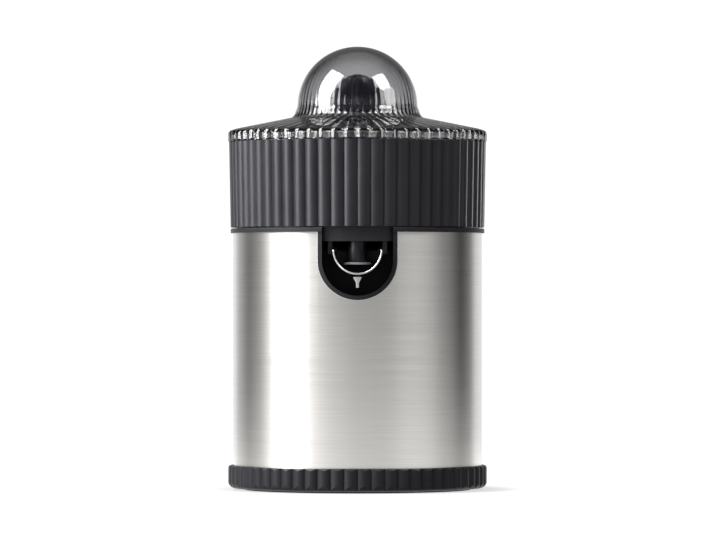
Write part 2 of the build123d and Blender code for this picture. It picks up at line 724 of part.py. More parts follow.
finish(gearbox_cover, "gearbox_cover")

with BuildPart() as gearbox_screws:
    lug_screw_length = LUG_HEIGHT + COVER_THICKNESS + CASE_SCREW_BITE - SCREW_TIP_ROOM
    screws(lug_points, case_top - LUG_HEIGHT, lug_screw_length, 1)
finish(gearbox_screws, "gearbox_screws")

with BuildPart() as gear_pin:
    discs(GEAR_PIN_RADIUS, [compound_centre], case_bottom, cover_top - case_bottom)
finish(gear_pin, "gear_pin")

with BuildPart() as output_bush_lower:
    tube(bush_radius, JOURNAL_RADIUS + RUN_CLEARANCE, (0, 0), case_bottom, LOWER_BUSH_LENGTH)
finish(output_bush_lower, "output_bush_lower")

with BuildPart() as output_bush_upper:
    tube(bush_radius, JOURNAL_RADIUS + RUN_CLEARANCE, (0, 0), case_top, COVER_THICKNESS)
finish(output_bush_upper, "output_bush_upper")

# Output gear: a wheel on a long journalled hub with a hexagonal bore
hex_bore = SHAFT_HEX_ACROSS_FLATS + 2 * HEX_CLEARANCE
shoulder_bottom = case_bottom + LOWER_BUSH_LENGTH + THRUST_GAP
with BuildPart() as output_gear:
    discs(JOURNAL_RADIUS, [(0, 0)], case_bottom + THRUST_GAP, cover_top - case_bottom - 2 * THRUST_GAP)
    discs(SHOULDER_RADIUS, [(0, 0)], shoulder_bottom, SHOULDER_LENGTH)
    discs(SHOULDER_RADIUS, [(0, 0)], output_level, case_top - THRUST_GAP - output_level)
    extrude(
        gear_face(OUTPUT_TEETH, OUTPUT_MODULE, COMPOUND_ANGLE, (0, 0), output_level),
        amount=OUTPUT_FACE,
    )
    hex_bar(hex_bore, case_bottom, cover_top - case_bottom, Mode.SUBTRACT)
finish(output_gear, "output_gear")

# Compound gear: the large wheel meshes with the motor pinion, its own pinion with the output gear
with BuildPart() as compound_gear:
    extrude(
        gear_face(WHEEL_TEETH, WHEEL_MODULE, ROTOR_ANGLE, compound_centre, wheel_level),
        amount=WHEEL_FACE,
    )
    pinion_angle = COMPOUND_ANGLE + 180 + 180 / OUTPUT_PINION_TEETH
    extrude(
        gear_face(OUTPUT_PINION_TEETH, OUTPUT_MODULE, pinion_angle, compound_centre, wheel_level),
        amount=case_top - THRUST_GAP - wheel_level,
    )
    pin_bore = GEAR_PIN_RADIUS + RUN_CLEARANCE
    discs(pin_bore, [compound_centre], wheel_level, case_top - wheel_level, Mode.SUBTRACT)
finish(compound_gear, "compound_gear")

# Drive shaft: round in the middle, hexagonal in the output gear and in the reamer
shaft_bottom = case_bottom + SHAFT_LOWER_HEX_BOTTOM
shaft_round_bottom = cover_top + PRESS_TRAVEL + SHAFT_STEP_ROOM
shaft_round_top = bush_bottom - SHAFT_HEX_LEAD
shaft_top = shaft_round_top + SHAFT_UPPER_HEX_LENGTH
collar_hub_bottom = collar_bottom - COLLAR_HUB_BELOW
collar_pin_level = (collar_bottom + COLLAR_FLANGE_THICKNESS + collar_hub_top) / 2
with BuildPart() as drive_shaft:
    hex_bar(SHAFT_HEX_ACROSS_FLATS, shaft_bottom, shaft_round_bottom - shaft_bottom)
    discs(SHAFT_RADIUS, [(0, 0)], shaft_round_bottom, shaft_round_top - shaft_round_bottom)
    hex_bar(SHAFT_HEX_ACROSS_FLATS, shaft_round_top, SHAFT_UPPER_HEX_LENGTH)
    with BuildSketch(Plane.YZ.offset(-SHAFT_RADIUS)):
        with Locations((0, collar_pin_level)):
            Circle(COLLAR_PIN_RADIUS + PRESS_CLEARANCE)
    extrude(amount=2 * SHAFT_RADIUS, mode=Mode.SUBTRACT)
finish(drive_shaft, "drive_shaft")

with BuildPart() as press_collar:
    collar_bore = SHAFT_RADIUS + PRESS_CLEARANCE
    tube(COLLAR_HUB_RADIUS, collar_bore, (0, 0), collar_hub_bottom, collar_hub_top - collar_hub_bottom)
    tube(COLLAR_RADIUS, collar_bore, (0, 0), collar_bottom, COLLAR_FLANGE_THICKNESS)
    with BuildSketch(Plane.YZ.offset(-COLLAR_HUB_RADIUS)):
        with Locations((0, collar_pin_level)):
            Circle(COLLAR_PIN_RADIUS + PRESS_CLEARANCE)
    extrude(amount=2 * COLLAR_HUB_RADIUS, mode=Mode.SUBTRACT)
finish(press_collar, "press_collar")

with BuildPart() as collar_pin:
    with BuildSketch(Plane.YZ.offset(-COLLAR_HUB_RADIUS)):
        with Locations((0, collar_pin_level)):
            Circle(COLLAR_PIN_RADIUS)
    extrude(amount=2 * COLLAR_HUB_RADIUS)
finish(collar_pin, "collar_pin")

# Return spring between the gearbox cover and the collar
with BuildPart() as return_spring:
    spring_bottom = cover_top + SPRING_WIRE_RADIUS + PRESS_CLEARANCE
    spring_rise = SPRING_LENGTH - 2 * SPRING_WIRE_RADIUS - 2 * PRESS_CLEARANCE
    with BuildLine() as coil:
        Helix(spring_rise / SPRING_TURNS, spring_rise, SPRING_RADIUS, center=(0, 0, spring_bottom))
    with BuildSketch(Plane(origin=coil.line @ 0, z_dir=coil.line % 0)):
        Circle(SPRING_WIRE_RADIUS)
    sweep(path=coil.line, is_frenet=True)
finish(return_spring, "return_spring")

# Microswitch on the gearbox cover, under the collar
plunger_x = SWITCH_START + PLUNGER_INSET
switch_top = cover_top + SWITCH_HEIGHT
plunger_top = collar_bottom - PIECE_GAP
with BuildPart() as switch_body:
    with BuildSketch(Plane.XY.offset(cover_top)):
        with Locations((SWITCH_START + SWITCH_LENGTH / 2, 0)):
            Rectangle(SWITCH_LENGTH, SWITCH_WIDTH)
    extrude(amount=SWITCH_HEIGHT)
    with BuildSketch(Plane.XY.offset(cover_top)):
        with Locations((switch_ear_x, 0)):
            Rectangle(SWITCH_EAR_LENGTH, SWITCH_WIDTH + 2 * SWITCH_EAR_WIDTH)
    extrude(amount=SWITCH_EAR_THICKNESS)
    plunger_bore = PLUNGER_DEPTH + PRESS_TRAVEL + PIECE_GAP
    discs(PLUNGER_RADIUS + RUN_CLEARANCE, [(plunger_x, 0)], switch_top, -plunger_bore, Mode.SUBTRACT)
    discs(small_hole, switch_ears, cover_top, SWITCH_EAR_THICKNESS, Mode.SUBTRACT)
finish(switch_body, "switch_body")

with BuildPart() as switch_plunger:
    discs(PLUNGER_RADIUS, [(plunger_x, 0)], plunger_top, switch_top - PLUNGER_DEPTH - plunger_top)
finish(switch_plunger, "switch_plunger")

with BuildPart() as switch_screws:
    small_screws(switch_ears, cover_top + SWITCH_EAR_THICKNESS, SWITCH_EAR_THICKNESS + SMALL_SCREW_BITE)
finish(switch_screws, "switch_screws")

# Motor: a two-legged core with a coil on each leg and a magnet rotor between the leg ends
stack_top = case_bottom - STACK_DROP
stack_bottom = stack_top - STACK_HEIGHT
leg_middle = (LEG_GAP + LEG_WIDTH) / 2
leg_start = rotor_centre[0] - LEG_END_OVERHANG
leg_sides = (1, -1)
leg_points = [((leg_start + YOKE_END) / 2, rotor_centre[1] + side * leg_middle) for side in leg_sides]
with BuildPart() as stator_core:
    with BuildSketch(Plane.XY.offset(stack_bottom)):
        with Locations(*leg_points):
            Rectangle(YOKE_END - leg_start, LEG_WIDTH)
        with Locations((YOKE_END - YOKE_WIDTH / 2, rotor_centre[1])):
            Rectangle(YOKE_WIDTH, LEG_GAP + 2 * LEG_WIDTH)
        with Locations(rotor_centre):
            Circle(ROTOR_RADIUS + AIR_GAP, mode=Mode.SUBTRACT)
    extrude(amount=STACK_HEIGHT)
    discs(screw_hole, bolt_points, stack_bottom, STACK_HEIGHT, Mode.SUBTRACT)
finish(stator_core, "stator_core")

bobbin_inner_y = LEG_WIDTH + 2 * PRESS_CLEARANCE
bobbin_inner_z = STACK_HEIGHT + 2 * PRESS_CLEARANCE
bobbin_outer_y = bobbin_inner_y + 2 * BOBBIN_WALL
bobbin_outer_z = bobbin_inner_z + 2 * BOBBIN_WALL
coil_outer_y = bobbin_outer_y + 2 * WINDING_THICKNESS
coil_outer_z = bobbin_outer_z + 2 * WINDING_THICKNESS
coil_places = [(rotor_centre[1] + side * leg_middle, (stack_top + stack_bottom) / 2) for side in leg_sides]


def coil_block(width, height, start, length, mode=Mode.ADD):
    """Blocks round both core legs, at the given start along the legs."""
    with BuildSketch(Plane.YZ.offset(start)) as faces:
        with Locations(*coil_places):
            Rectangle(width, height)
    extrude(faces.sketch, amount=length, mode=mode)


with BuildPart() as coil_bobbins:
    coil_block(coil_outer_y, coil_outer_z, COIL_START, BOBBIN_FLANGE)
    coil_block(bobbin_outer_y, bobbin_outer_z, COIL_START, COIL_LENGTH)
    coil_block(coil_outer_y, coil_outer_z, COIL_START + COIL_LENGTH, -BOBBIN_FLANGE)
    coil_block(bobbin_inner_y, bobbin_inner_z, COIL_START, COIL_LENGTH, Mode.SUBTRACT)
finish(coil_bobbins, "coil_bobbins")

with BuildPart() as coil_windings:
    winding_start = COIL_START + BOBBIN_FLANGE + PRESS_CLEARANCE
    winding_length = COIL_LENGTH - 2 * BOBBIN_FLANGE - 2 * PRESS_CLEARANCE
    coil_block(
        coil_outer_y - 2 * PRESS_CLEARANCE,
        coil_outer_z - 2 * PRESS_CLEARANCE,
        winding_start,
        winding_length,
    )
    coil_block(
        bobbin_outer_y + 2 * PRESS_CLEARANCE,
        bobbin_outer_z + 2 * PRESS_CLEARANCE,
        winding_start,
        winding_length,
        Mode.SUBTRACT,
    )
finish(coil_windings, "coil_windings")


def bracket(stack_face, sense):
    """Bearing bridge over the rotor, with two feet on the face of the core."""
    with BuildSketch(Plane((rotor_centre[0], rotor_centre[1], stack_face))) as feet:
        with GridLocations(0, BRACKET_WIDTH - BRACKET_FOOT_WIDTH, 1, 2):
            Rectangle(BRACKET_LENGTH, BRACKET_FOOT_WIDTH)
    extrude(feet.sketch, amount=sense * BRACKET_RISE)
    with BuildSketch(Plane((rotor_centre[0], rotor_centre[1], stack_face + sense * BRACKET_RISE))) as bridge:
        Rectangle(BRACKET_LENGTH, BRACKET_WIDTH)
    extrude(bridge.sketch, amount=sense * BRACKET_THICKNESS)
    reach = BRACKET_RISE + BRACKET_THICKNESS
    discs(screw_hole, bolt_points, stack_face, sense * reach, Mode.SUBTRACT)
    discs(ROTOR_BUSH_RADIUS + PRESS_CLEARANCE, [rotor_centre], stack_face, sense * reach, Mode.SUBTRACT)


bracket_reach = BRACKET_RISE + BRACKET_THICKNESS
with BuildPart() as motor_bracket_upper:
    bracket(stack_top, 1)
finish(motor_bracket_upper, "motor_bracket_upper")

with BuildPart() as motor_bracket_lower:
    bracket(stack_bottom, -1)
finish(motor_bracket_lower, "motor_bracket_lower")

with BuildPart() as motor_spacers:
    with BuildSketch(Plane.XY.offset(stack_top + bracket_reach)):
        with Locations(*bolt_points):
            Circle(MOTOR_BOSS_RADIUS)
        with Locations(*bolt_points):
            Circle(screw_hole, mode=Mode.SUBTRACT)
    extrude(amount=STACK_DROP - bracket_reach)
finish(motor_spacers, "motor_spacers")

with BuildPart() as motor_screws:
    motor_screw_seat = stack_bottom - bracket_reach
    screws(bolt_points, motor_screw_seat, case_floor - motor_screw_seat, 1)
finish(motor_screws, "motor_screws")

with BuildPart() as rotor_bushes:
    tube(
        ROTOR_BUSH_RADIUS,
        ROTOR_SHAFT_RADIUS + RUN_CLEARANCE,
        rotor_centre,
        stack_top + bracket_reach,
        -ROTOR_BUSH_LENGTH,
    )
    tube(
        ROTOR_BUSH_RADIUS,
        ROTOR_SHAFT_RADIUS + RUN_CLEARANCE,
        rotor_centre,
        stack_bottom - bracket_reach,
        ROTOR_BUSH_LENGTH,
    )
finish(rotor_bushes, "rotor_bushes")

rotor_middle = (stack_top + stack_bottom) / 2
pinion_bottom = wheel_level - (MOTOR_PINION_FACE - WHEEL_FACE) / 2
pinion_top = pinion_bottom + MOTOR_PINION_FACE
with BuildPart() as rotor_shaft:
    shaft_tail = stack_bottom - bracket_reach - ROTOR_SHAFT_TAIL
    discs(ROTOR_SHAFT_RADIUS, [rotor_centre], shaft_tail, pinion_top - shaft_tail)
finish(rotor_shaft, "rotor_shaft")

with BuildPart() as rotor_magnet:
    tube(
        ROTOR_RADIUS,
        ROTOR_SHAFT_RADIUS + PRESS_CLEARANCE,
        rotor_centre,
        rotor_middle - ROTOR_LENGTH / 2,
        ROTOR_LENGTH,
    )
finish(rotor_magnet, "rotor_magnet")

with BuildPart() as motor_pinion:
    motor_pinion_angle = ROTOR_ANGLE - 180 + 180 / MOTOR_PINION_TEETH
    extrude(
        gear_face(MOTOR_PINION_TEETH, WHEEL_MODULE, motor_pinion_angle, rotor_centre, pinion_bottom),
        amount=MOTOR_PINION_FACE,
    )
    shaft_hole = ROTOR_SHAFT_RADIUS + PRESS_CLEARANCE
    discs(shaft_hole, [rotor_centre], pinion_bottom, MOTOR_PINION_FACE, Mode.SUBTRACT)
finish(motor_pinion, "motor_pinion")

# Terminal block on the bottom plate
pole_pitch = TERMINAL_LENGTH / TERMINAL_POLES
with BuildPart() as terminal_block:
    with BuildSketch(Plane.XY.offset(plate_top)):
        with Locations((0, TERMINAL_Y)):
            RectangleRounded(TERMINAL_LENGTH, TERMINAL_WIDTH, TERMINAL_EDGE_ROUND)
    extrude(amount=TERMINAL_HEIGHT)
    with BuildSketch(Plane.XZ.offset(-TERMINAL_Y - TERMINAL_WIDTH / 2)):
        with Locations((0, plate_top + TERMINAL_WIRE_HEIGHT)):
            with GridLocations(pole_pitch, 0, TERMINAL_POLES, 1):
                Circle(TERMINAL_WIRE_RADIUS)
    extrude(amount=TERMINAL_WIDTH, mode=Mode.SUBTRACT)
    terminal_points = [
        ((pole - (TERMINAL_POLES - 1) / 2) * pole_pitch, TERMINAL_Y) for pole in range(TERMINAL_POLES)
    ]
    terminal_seat = plate_top + TERMINAL_HEIGHT - SMALL_HEAD_HEIGHT
    terminal_bite = terminal_seat - plate_top - TERMINAL_WIRE_HEIGHT
    discs(SMALL_HEAD_RADIUS + PIECE_GAP, terminal_points, terminal_seat, SMALL_HEAD_HEIGHT, Mode.SUBTRACT)
    discs(small_hole, terminal_points, terminal_seat, -terminal_bite, Mode.SUBTRACT)
finish(terminal_block, "terminal_block")

with BuildPart() as terminal_screws:
    small_screws(terminal_points, terminal_seat, terminal_bite)
finish(terminal_screws, "terminal_screws")

# Collector: fluted bowl with a tilted floor, a chimney for the shaft, an outlet and the spout's ears
floor_level = neck_bottom + FLOOR_RISE
outlet_bottom = neck_bottom - OUTLET_DROP
chimney_top = bush_bottom - CHIMNEY_TOP_ROOM
spout_axis = collector_bottom - SPOUT_AXIS_DROP
ear_start = spout_outer + PIECE_GAP
floor_plane = Plane.XY.offset(floor_level).rotated((FLOOR_TILT, 0, 0))
stop_bottom = spout_axis + PIECE_GAP
floor_slope = tan(radians(FLOOR_TILT))
outlet_floor = floor_level + outlet_y * floor_slope
outlet_root = outlet_floor - FLOOR_THICKNESS / 2
ear_top = floor_level + (spout_pivot_y - EAR_RADIUS) * floor_slope - FLOOR_THICKNESS / 2
with BuildPart() as collector_bowl:
    loft(
        [
            fluted_face(collector_bottom_radius, FLUTE_DEPTH, collector_bottom),
            fluted_face(collector_top_radius, FLUTE_DEPTH, collector_top),
        ],
        ruled=True,
    )
    tube(neck_outer, neck_inner, (0, 0), neck_bottom, collector_bottom - neck_bottom + FLOOR_THICKNESS)
    with BuildSketch(Plane.XZ):
        with BuildLine():
            Polyline(
                (0, neck_bottom),
                (neck_inner, neck_bottom),
                (neck_inner, collector_bottom + FLOOR_THICKNESS),
                (collector_inner, collector_bottom + FLOOR_THICKNESS),
                (collector_inner, collector_top - COLLECTOR_LIP_DEPTH),
                (collector_lip, collector_top - COLLECTOR_LIP_DEPTH),
                (collector_lip, collector_top + OVERRUN),
                (0, collector_top + OVERRUN),
                close=True,
            )
        make_face()
    revolve(axis=Axis.Z, mode=Mode.SUBTRACT)
    with BuildSketch(floor_plane):
        Circle((neck_inner + neck_outer) / 2)
    extrude(amount=-FLOOR_THICKNESS)
    chimney_foot = neck_bottom + NECK_WALL
    discs(CHIMNEY_BORE_RADIUS + CHIMNEY_WALL, [(0, 0)], chimney_foot, chimney_top - chimney_foot)
    discs(CHIMNEY_BORE_RADIUS, [(0, 0)], neck_bottom, chimney_top - neck_bottom, Mode.SUBTRACT)
    discs(OUTLET_RADIUS, [(0, outlet_y)], outlet_bottom, outlet_root - outlet_bottom)
    discs(NOZZLE_RADIUS, [(0, outlet_y)], outlet_bottom, -NOZZLE_LENGTH)
    nozzle_bottom = outlet_bottom - NOZZLE_LENGTH
    discs(OUTLET_BORE_RADIUS, [(0, outlet_y)], nozzle_bottom, floor_level - nozzle_bottom, Mode.SUBTRACT)
    for ear_side in (1, -1):
        with BuildSketch(Plane.YZ.offset(ear_side * ear_start)):
            with Locations((spout_pivot_y, spout_axis)):
                Circle(EAR_RADIUS)
            with BuildLine():
                Polyline(
                    (spout_pivot_y - EAR_RADIUS, spout_axis),
                    (spout_pivot_y + EAR_RADIUS, spout_axis),
                    (spout_rear_y, stop_bottom),
                    (spout_rear_y, ear_top),
                    (spout_pivot_y - EAR_RADIUS, ear_top),
                    close=True,
                )
            make_face()
        extrude(amount=ear_side * EAR_THICKNESS)
        with BuildSketch(Plane.YZ.offset(ear_side * ear_start)):
            with Locations((spout_rear_y - STOP_LENGTH / 2, stop_bottom + STOP_HEIGHT / 2)):
                Rectangle(STOP_LENGTH, STOP_HEIGHT)
        extrude(amount=-ear_side * (SPOUT_WALL + PIECE_GAP))
    pin_reach = ear_start + EAR_THICKNESS
    with BuildSketch(Plane.YZ.offset(-pin_reach)):
        with Locations((spout_pivot_y, spout_axis)):
            Circle(SPOUT_PIN_RADIUS + PRESS_CLEARANCE)
    extrude(amount=2 * pin_reach, mode=Mode.SUBTRACT)
finish(collector_bowl, "collector_bowl")

with BuildPart() as outlet_seal:
    tube(
        OUTLET_SEAL_RADIUS,
        NOZZLE_RADIUS + PRESS_CLEARANCE,
        (0, outlet_y),
        outlet_bottom,
        -OUTLET_SEAL_THICKNESS,
    )
finish(outlet_seal, "outlet_seal")

# Spout: a half-round trough with a closed rear end, pivot lugs and a drip nib under its lip
spout_bottom = spout_axis - spout_outer
nib_top = spout_bottom - NIB_GAP
with BuildPart() as spout:
    with BuildSketch(Plane.XZ.offset(-spout_rear_y)):
        with Locations((0, spout_axis)):
            Circle(spout_outer)
            Circle(spout_inner, mode=Mode.SUBTRACT)
        with Locations((0, spout_axis + spout_outer / 2)):
            Rectangle(2 * spout_outer, spout_outer, mode=Mode.SUBTRACT)
    extrude(amount=spout_rear_y - spout_lip_y)
    with BuildSketch(Plane.XZ.offset(-spout_rear_y)):
        with Locations((0, spout_axis)):
            Circle(spout_outer)
        with Locations((0, spout_axis + spout_outer / 2)):
            Rectangle(2 * spout_outer, spout_outer, mode=Mode.SUBTRACT)
    extrude(amount=SPOUT_WALL)
    for lug_side in (1, -1):
        with BuildSketch(Plane.YZ.offset(lug_side * spout_inner)):
            with Locations((spout_pivot_y, spout_axis)):
                Circle(SPOUT_LUG_RADIUS)
        extrude(amount=lug_side * SPOUT_WALL)
    with BuildSketch(Plane.YZ.offset(-spout_outer)):
        with Locations((spout_pivot_y, spout_axis)):
            Circle(SPOUT_PIN_RADIUS + RUN_CLEARANCE)
    extrude(amount=2 * spout_outer, mode=Mode.SUBTRACT)
    with BuildSketch(Plane.XZ.offset(-spout_lip_y)):
        with BuildLine():
            Polyline(
                (-NIB_TOP_HALF_WIDTH, nib_top),
                (NIB_TOP_HALF_WIDTH, nib_top),
                (NIB_STEM_HALF_WIDTH, nib_top - NIB_FUNNEL_HEIGHT),
                (NIB_STEM_HALF_WIDTH, nib_top - NIB_HEIGHT),
                (-NIB_STEM_HALF_WIDTH, nib_top - NIB_HEIGHT),
                (-NIB_STEM_HALF_WIDTH, nib_top - NIB_FUNNEL_HEIGHT),
                close=True,
            )
        make_face()
    extrude(amount=-NIB_THICKNESS)
    nib_web_bottom = nib_top - NIB_FUNNEL_HEIGHT
    nib_web_top = spout_bottom + SPOUT_WALL / 2
    with BuildSketch(Plane.XZ.offset(-spout_lip_y - NIB_THICKNESS / 2)):
        with Locations((0, (nib_web_bottom + nib_web_top) / 2)):
            Rectangle(2 * NIB_STEM_HALF_WIDTH, nib_web_top - nib_web_bottom)
    extrude(amount=-NIB_WEB_DEPTH)
finish(spout, "spout")

with BuildPart() as spout_pins:
    pin_head_outer = spout_inner - PIECE_GAP
    for pin_side in (1, -1):
        with BuildSketch(Plane.YZ.offset(pin_side * pin_head_outer)):
            with Locations((spout_pivot_y, spout_axis)):
                Circle(SPOUT_PIN_HEAD_RADIUS)
        extrude(amount=-pin_side * SPOUT_PIN_HEAD_LENGTH)
        with BuildSketch(Plane.YZ.offset(pin_side * pin_head_outer)):
            with Locations((spout_pivot_y, spout_axis)):
                Circle(SPOUT_PIN_RADIUS)
        extrude(amount=pin_side * (pin_reach - pin_head_outer))
finish(spout_pins, "spout_pins")

# Strainer: a slotted basin that hangs on the collector's ledge, with a hub for the shaft bush
bush_bore = BUSH_JOURNAL_RADIUS + RUN_CLEARANCE
slot_inner = REAMER_RADIUS + SLOT_REAMER_MARGIN
slot_outer = strainer_floor_radius - SLOT_EDGE_MARGIN
with BuildPart() as strainer:
    with BuildSketch(Plane.XZ):
        with BuildLine():
            Polyline(
                (bush_bore, roof_bottom),
                (STRAINER_HUB_RADIUS - STRAINER_WALL, roof_bottom),
                (STRAINER_HUB_RADIUS - STRAINER_WALL, strainer_floor),
                (strainer_floor_radius, strainer_floor),
                (strainer_wall_top, strainer_seat),
                (strainer_rim_radius, strainer_seat),
                (strainer_rim_radius, strainer_seat + STRAINER_WALL),
                (strainer_wall_top - STRAINER_WALL, strainer_seat + STRAINER_WALL),
                (strainer_floor_radius - STRAINER_WALL, strainer_floor_top),
                (STRAINER_HUB_RADIUS, strainer_floor_top),
                (STRAINER_HUB_RADIUS, hub_top),
                (bush_bore, hub_top),
                close=True,
            )
        make_face()
    revolve(axis=Axis.Z)
    with BuildSketch(Plane.XY.offset(strainer_floor)):
        with PolarLocations((slot_inner + slot_outer) / 2, SLOT_COUNT):
            SlotOverall(slot_outer - slot_inner, SLOT_WIDTH)
    extrude(amount=STRAINER_WALL, mode=Mode.SUBTRACT)
finish(strainer, "strainer")

# Shaft bush: turns in the strainer's hub and guides the hexagonal shaft
clip_top = roof_bottom - SEAT_GAP
clip_bottom = clip_top - CLIP_THICKNESS
clip_bore = BUSH_JOURNAL_RADIUS - CLIP_GROOVE_DEPTH + PRESS_CLEARANCE
with BuildPart() as shaft_bush:
    discs(BUSH_JOURNAL_RADIUS, [(0, 0)], bush_bottom, bush_flange_bottom - bush_bottom)
    discs(BUSH_FLANGE_RADIUS, [(0, 0)], bush_flange_bottom, BUSH_FLANGE_THICKNESS)
    with BuildSketch(Plane.XY.offset(clip_bottom - PRESS_CLEARANCE)):
        Circle(BUSH_JOURNAL_RADIUS)
        Circle(BUSH_JOURNAL_RADIUS - CLIP_GROOVE_DEPTH, mode=Mode.SUBTRACT)
    extrude(amount=CLIP_THICKNESS + 2 * PRESS_CLEARANCE, mode=Mode.SUBTRACT)
    hex_bar(hex_bore, bush_bottom, bush_flange_top - bush_bottom, Mode.SUBTRACT)
finish(shaft_bush, "shaft_bush")

with BuildPart() as bush_clip:
    with BuildSketch(Plane.XY.offset(clip_bottom)):
        Circle(CLIP_RADIUS)
        Circle(clip_bore, mode=Mode.SUBTRACT)
        with Locations((CLIP_RADIUS / 2, 0)):
            Rectangle(CLIP_RADIUS, CLIP_MOUTH, mode=Mode.SUBTRACT)
    extrude(amount=CLIP_THICKNESS)
finish(bush_clip, "bush_clip")

# Reamer: a smooth core with upright ribs, a hollow skirt and a hexagonal socket
cavity_top = reamer_bottom + REAMER_CAVITY_HEIGHT
core_base_radius = REAMER_RADIUS * REAMER_CORE_RADIUS_SHARE


def reamer_points(radius_share, height_share):
    """Outline of the reamer from its apex to its base, drawn in by the given shares."""
    return [
        (REAMER_RADIUS * radius_share * across, reamer_bottom + REAMER_HEIGHT * height_share * up)
        for across, up in REAMER_RIB_SHARES
    ]


with BuildPart() as reamer:
    with BuildSketch(Plane.XZ):
        with BuildLine():
            core_line = Spline(*reamer_points(REAMER_CORE_RADIUS_SHARE, REAMER_CORE_HEIGHT_SHARE))
            Polyline(core_line @ 1, (0, reamer_bottom), core_line @ 0)
        make_face()
    revolve(axis=Axis.Z)
    with BuildSketch(Plane.XZ.offset(-REAMER_RIB_THICKNESS / 2)):
        with BuildLine():
            rib_line = Spline(*reamer_points(1, 1))
            Polyline(rib_line @ 1, (0, reamer_bottom), rib_line @ 0)
        make_face()
    rib = extrude(amount=REAMER_RIB_THICKNESS, mode=Mode.PRIVATE)
    with PolarLocations(0, REAMER_RIB_COUNT):
        add(rib)
    with BuildSketch(Plane.XZ):
        with BuildLine():
            Polyline(
                (0, reamer_bottom),
                (core_base_radius - REAMER_WALL, reamer_bottom),
                (REAMER_HUB_RADIUS + REAMER_WALL, cavity_top),
                (REAMER_HUB_RADIUS, cavity_top),
                (REAMER_HUB_RADIUS, reamer_hub_bottom),
                (0, reamer_hub_bottom),
                close=True,
            )
        make_face()
    revolve(axis=Axis.Z, mode=Mode.SUBTRACT)
    hex_bar(hex_bore, reamer_hub_bottom, shaft_top + SEAT_GAP - reamer_hub_bottom, Mode.SUBTRACT)
finish(reamer, "reamer")

# Lid: fluted rim, sloping shoulder and a dome over the reamer
lid_edge_level = lid_bottom + LID_RIM_HEIGHT + LID_EDGE_RISE
lid_shoulder_level = lid_bottom + LID_RIM_HEIGHT + LID_SHOULDER_RISE
lid_neck_level = lid_shoulder_level + LID_SHOULDER_CLIMB
lid_shoulder_radius = lid_radius - LID_SHOULDER_INSET
lid_flank_radius = LID_DOME_RADIUS + LID_DOME_FLARE
lid_neck_radius = lid_flank_radius + LID_NECK_ROUND
lid_flank_level = lid_neck_level + LID_NECK_ROUND
lid_dome_level = lid_flank_level + LID_DOME_FLANK
lid_spigot_radius = collector_lip - DROP_IN_CLEARANCE
lid_rim_inner = lid_spigot_radius - LID_SPIGOT_WALL
lid_inner_dome = LID_DOME_RADIUS - LID_WALL
lid_spigot_bottom = lid_bottom - LID_SPIGOT_DROP
with BuildPart() as lid:
    loft(
        [
            fluted_face(lid_radius, FLUTE_DEPTH, lid_bottom),
            fluted_face(lid_radius, FLUTE_DEPTH, lid_bottom + LID_RIM_HEIGHT),
            fluted_face(lid_radius - LID_EDGE_INSET, FLUTE_DEPTH * LID_EDGE_DEPTH_SHARE, lid_edge_level),
            fluted_face(lid_shoulder_radius, FLUTE_DEPTH * LID_SHOULDER_DEPTH_SHARE, lid_shoulder_level),
            fluted_face(lid_neck_radius, FLUTE_DEPTH * LID_NECK_DEPTH_SHARE, lid_neck_level),
        ],
        ruled=True,
    )
    with BuildSketch(Plane.XZ):
        with BuildLine():
            Polyline(
                (0, lid_dome_level + LID_DOME_RADIUS),
                (0, lid_bottom),
                (lid_neck_radius, lid_bottom),
                (lid_neck_radius, lid_neck_level),
            )
            TangentArc(
                (lid_neck_radius, lid_neck_level),
                (lid_flank_radius, lid_flank_level),
                tangent=(-1, 0),
            )
            Line((lid_flank_radius, lid_flank_level), (LID_DOME_RADIUS, lid_dome_level))
            TangentArc(
                (LID_DOME_RADIUS, lid_dome_level),
                (0, lid_dome_level + LID_DOME_RADIUS),
                tangent=(0, 1),
            )
        make_face()
    revolve(axis=Axis.Z)
    discs(lid_spigot_radius, [(0, 0)], lid_bottom, -LID_SPIGOT_DROP)
    with BuildSketch(Plane.XZ):
        with BuildLine():
            Polyline(
                (0, lid_dome_level + lid_inner_dome),
                (0, lid_spigot_bottom),
                (lid_rim_inner, lid_spigot_bottom),
                (lid_rim_inner, lid_shoulder_level - LID_WALL),
                (lid_neck_radius, lid_neck_level - LID_WALL),
                (lid_flank_radius - LID_WALL, lid_flank_level - LID_WALL),
                (lid_inner_dome, lid_dome_level),
            )
            TangentArc(
                (lid_inner_dome, lid_dome_level),
                (0, lid_dome_level + lid_inner_dome),
                tangent=(0, 1),
            )
        make_face()
    revolve(axis=Axis.Z, mode=Mode.SUBTRACT)
finish(lid, "lid")
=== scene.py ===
"""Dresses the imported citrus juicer: turned and fluted pieces, finishes, studio light and camera."""

import logging
import math
from abc import ABC, abstractmethod
from dataclasses import dataclass
from enum import Enum
from typing import Callable, Sequence

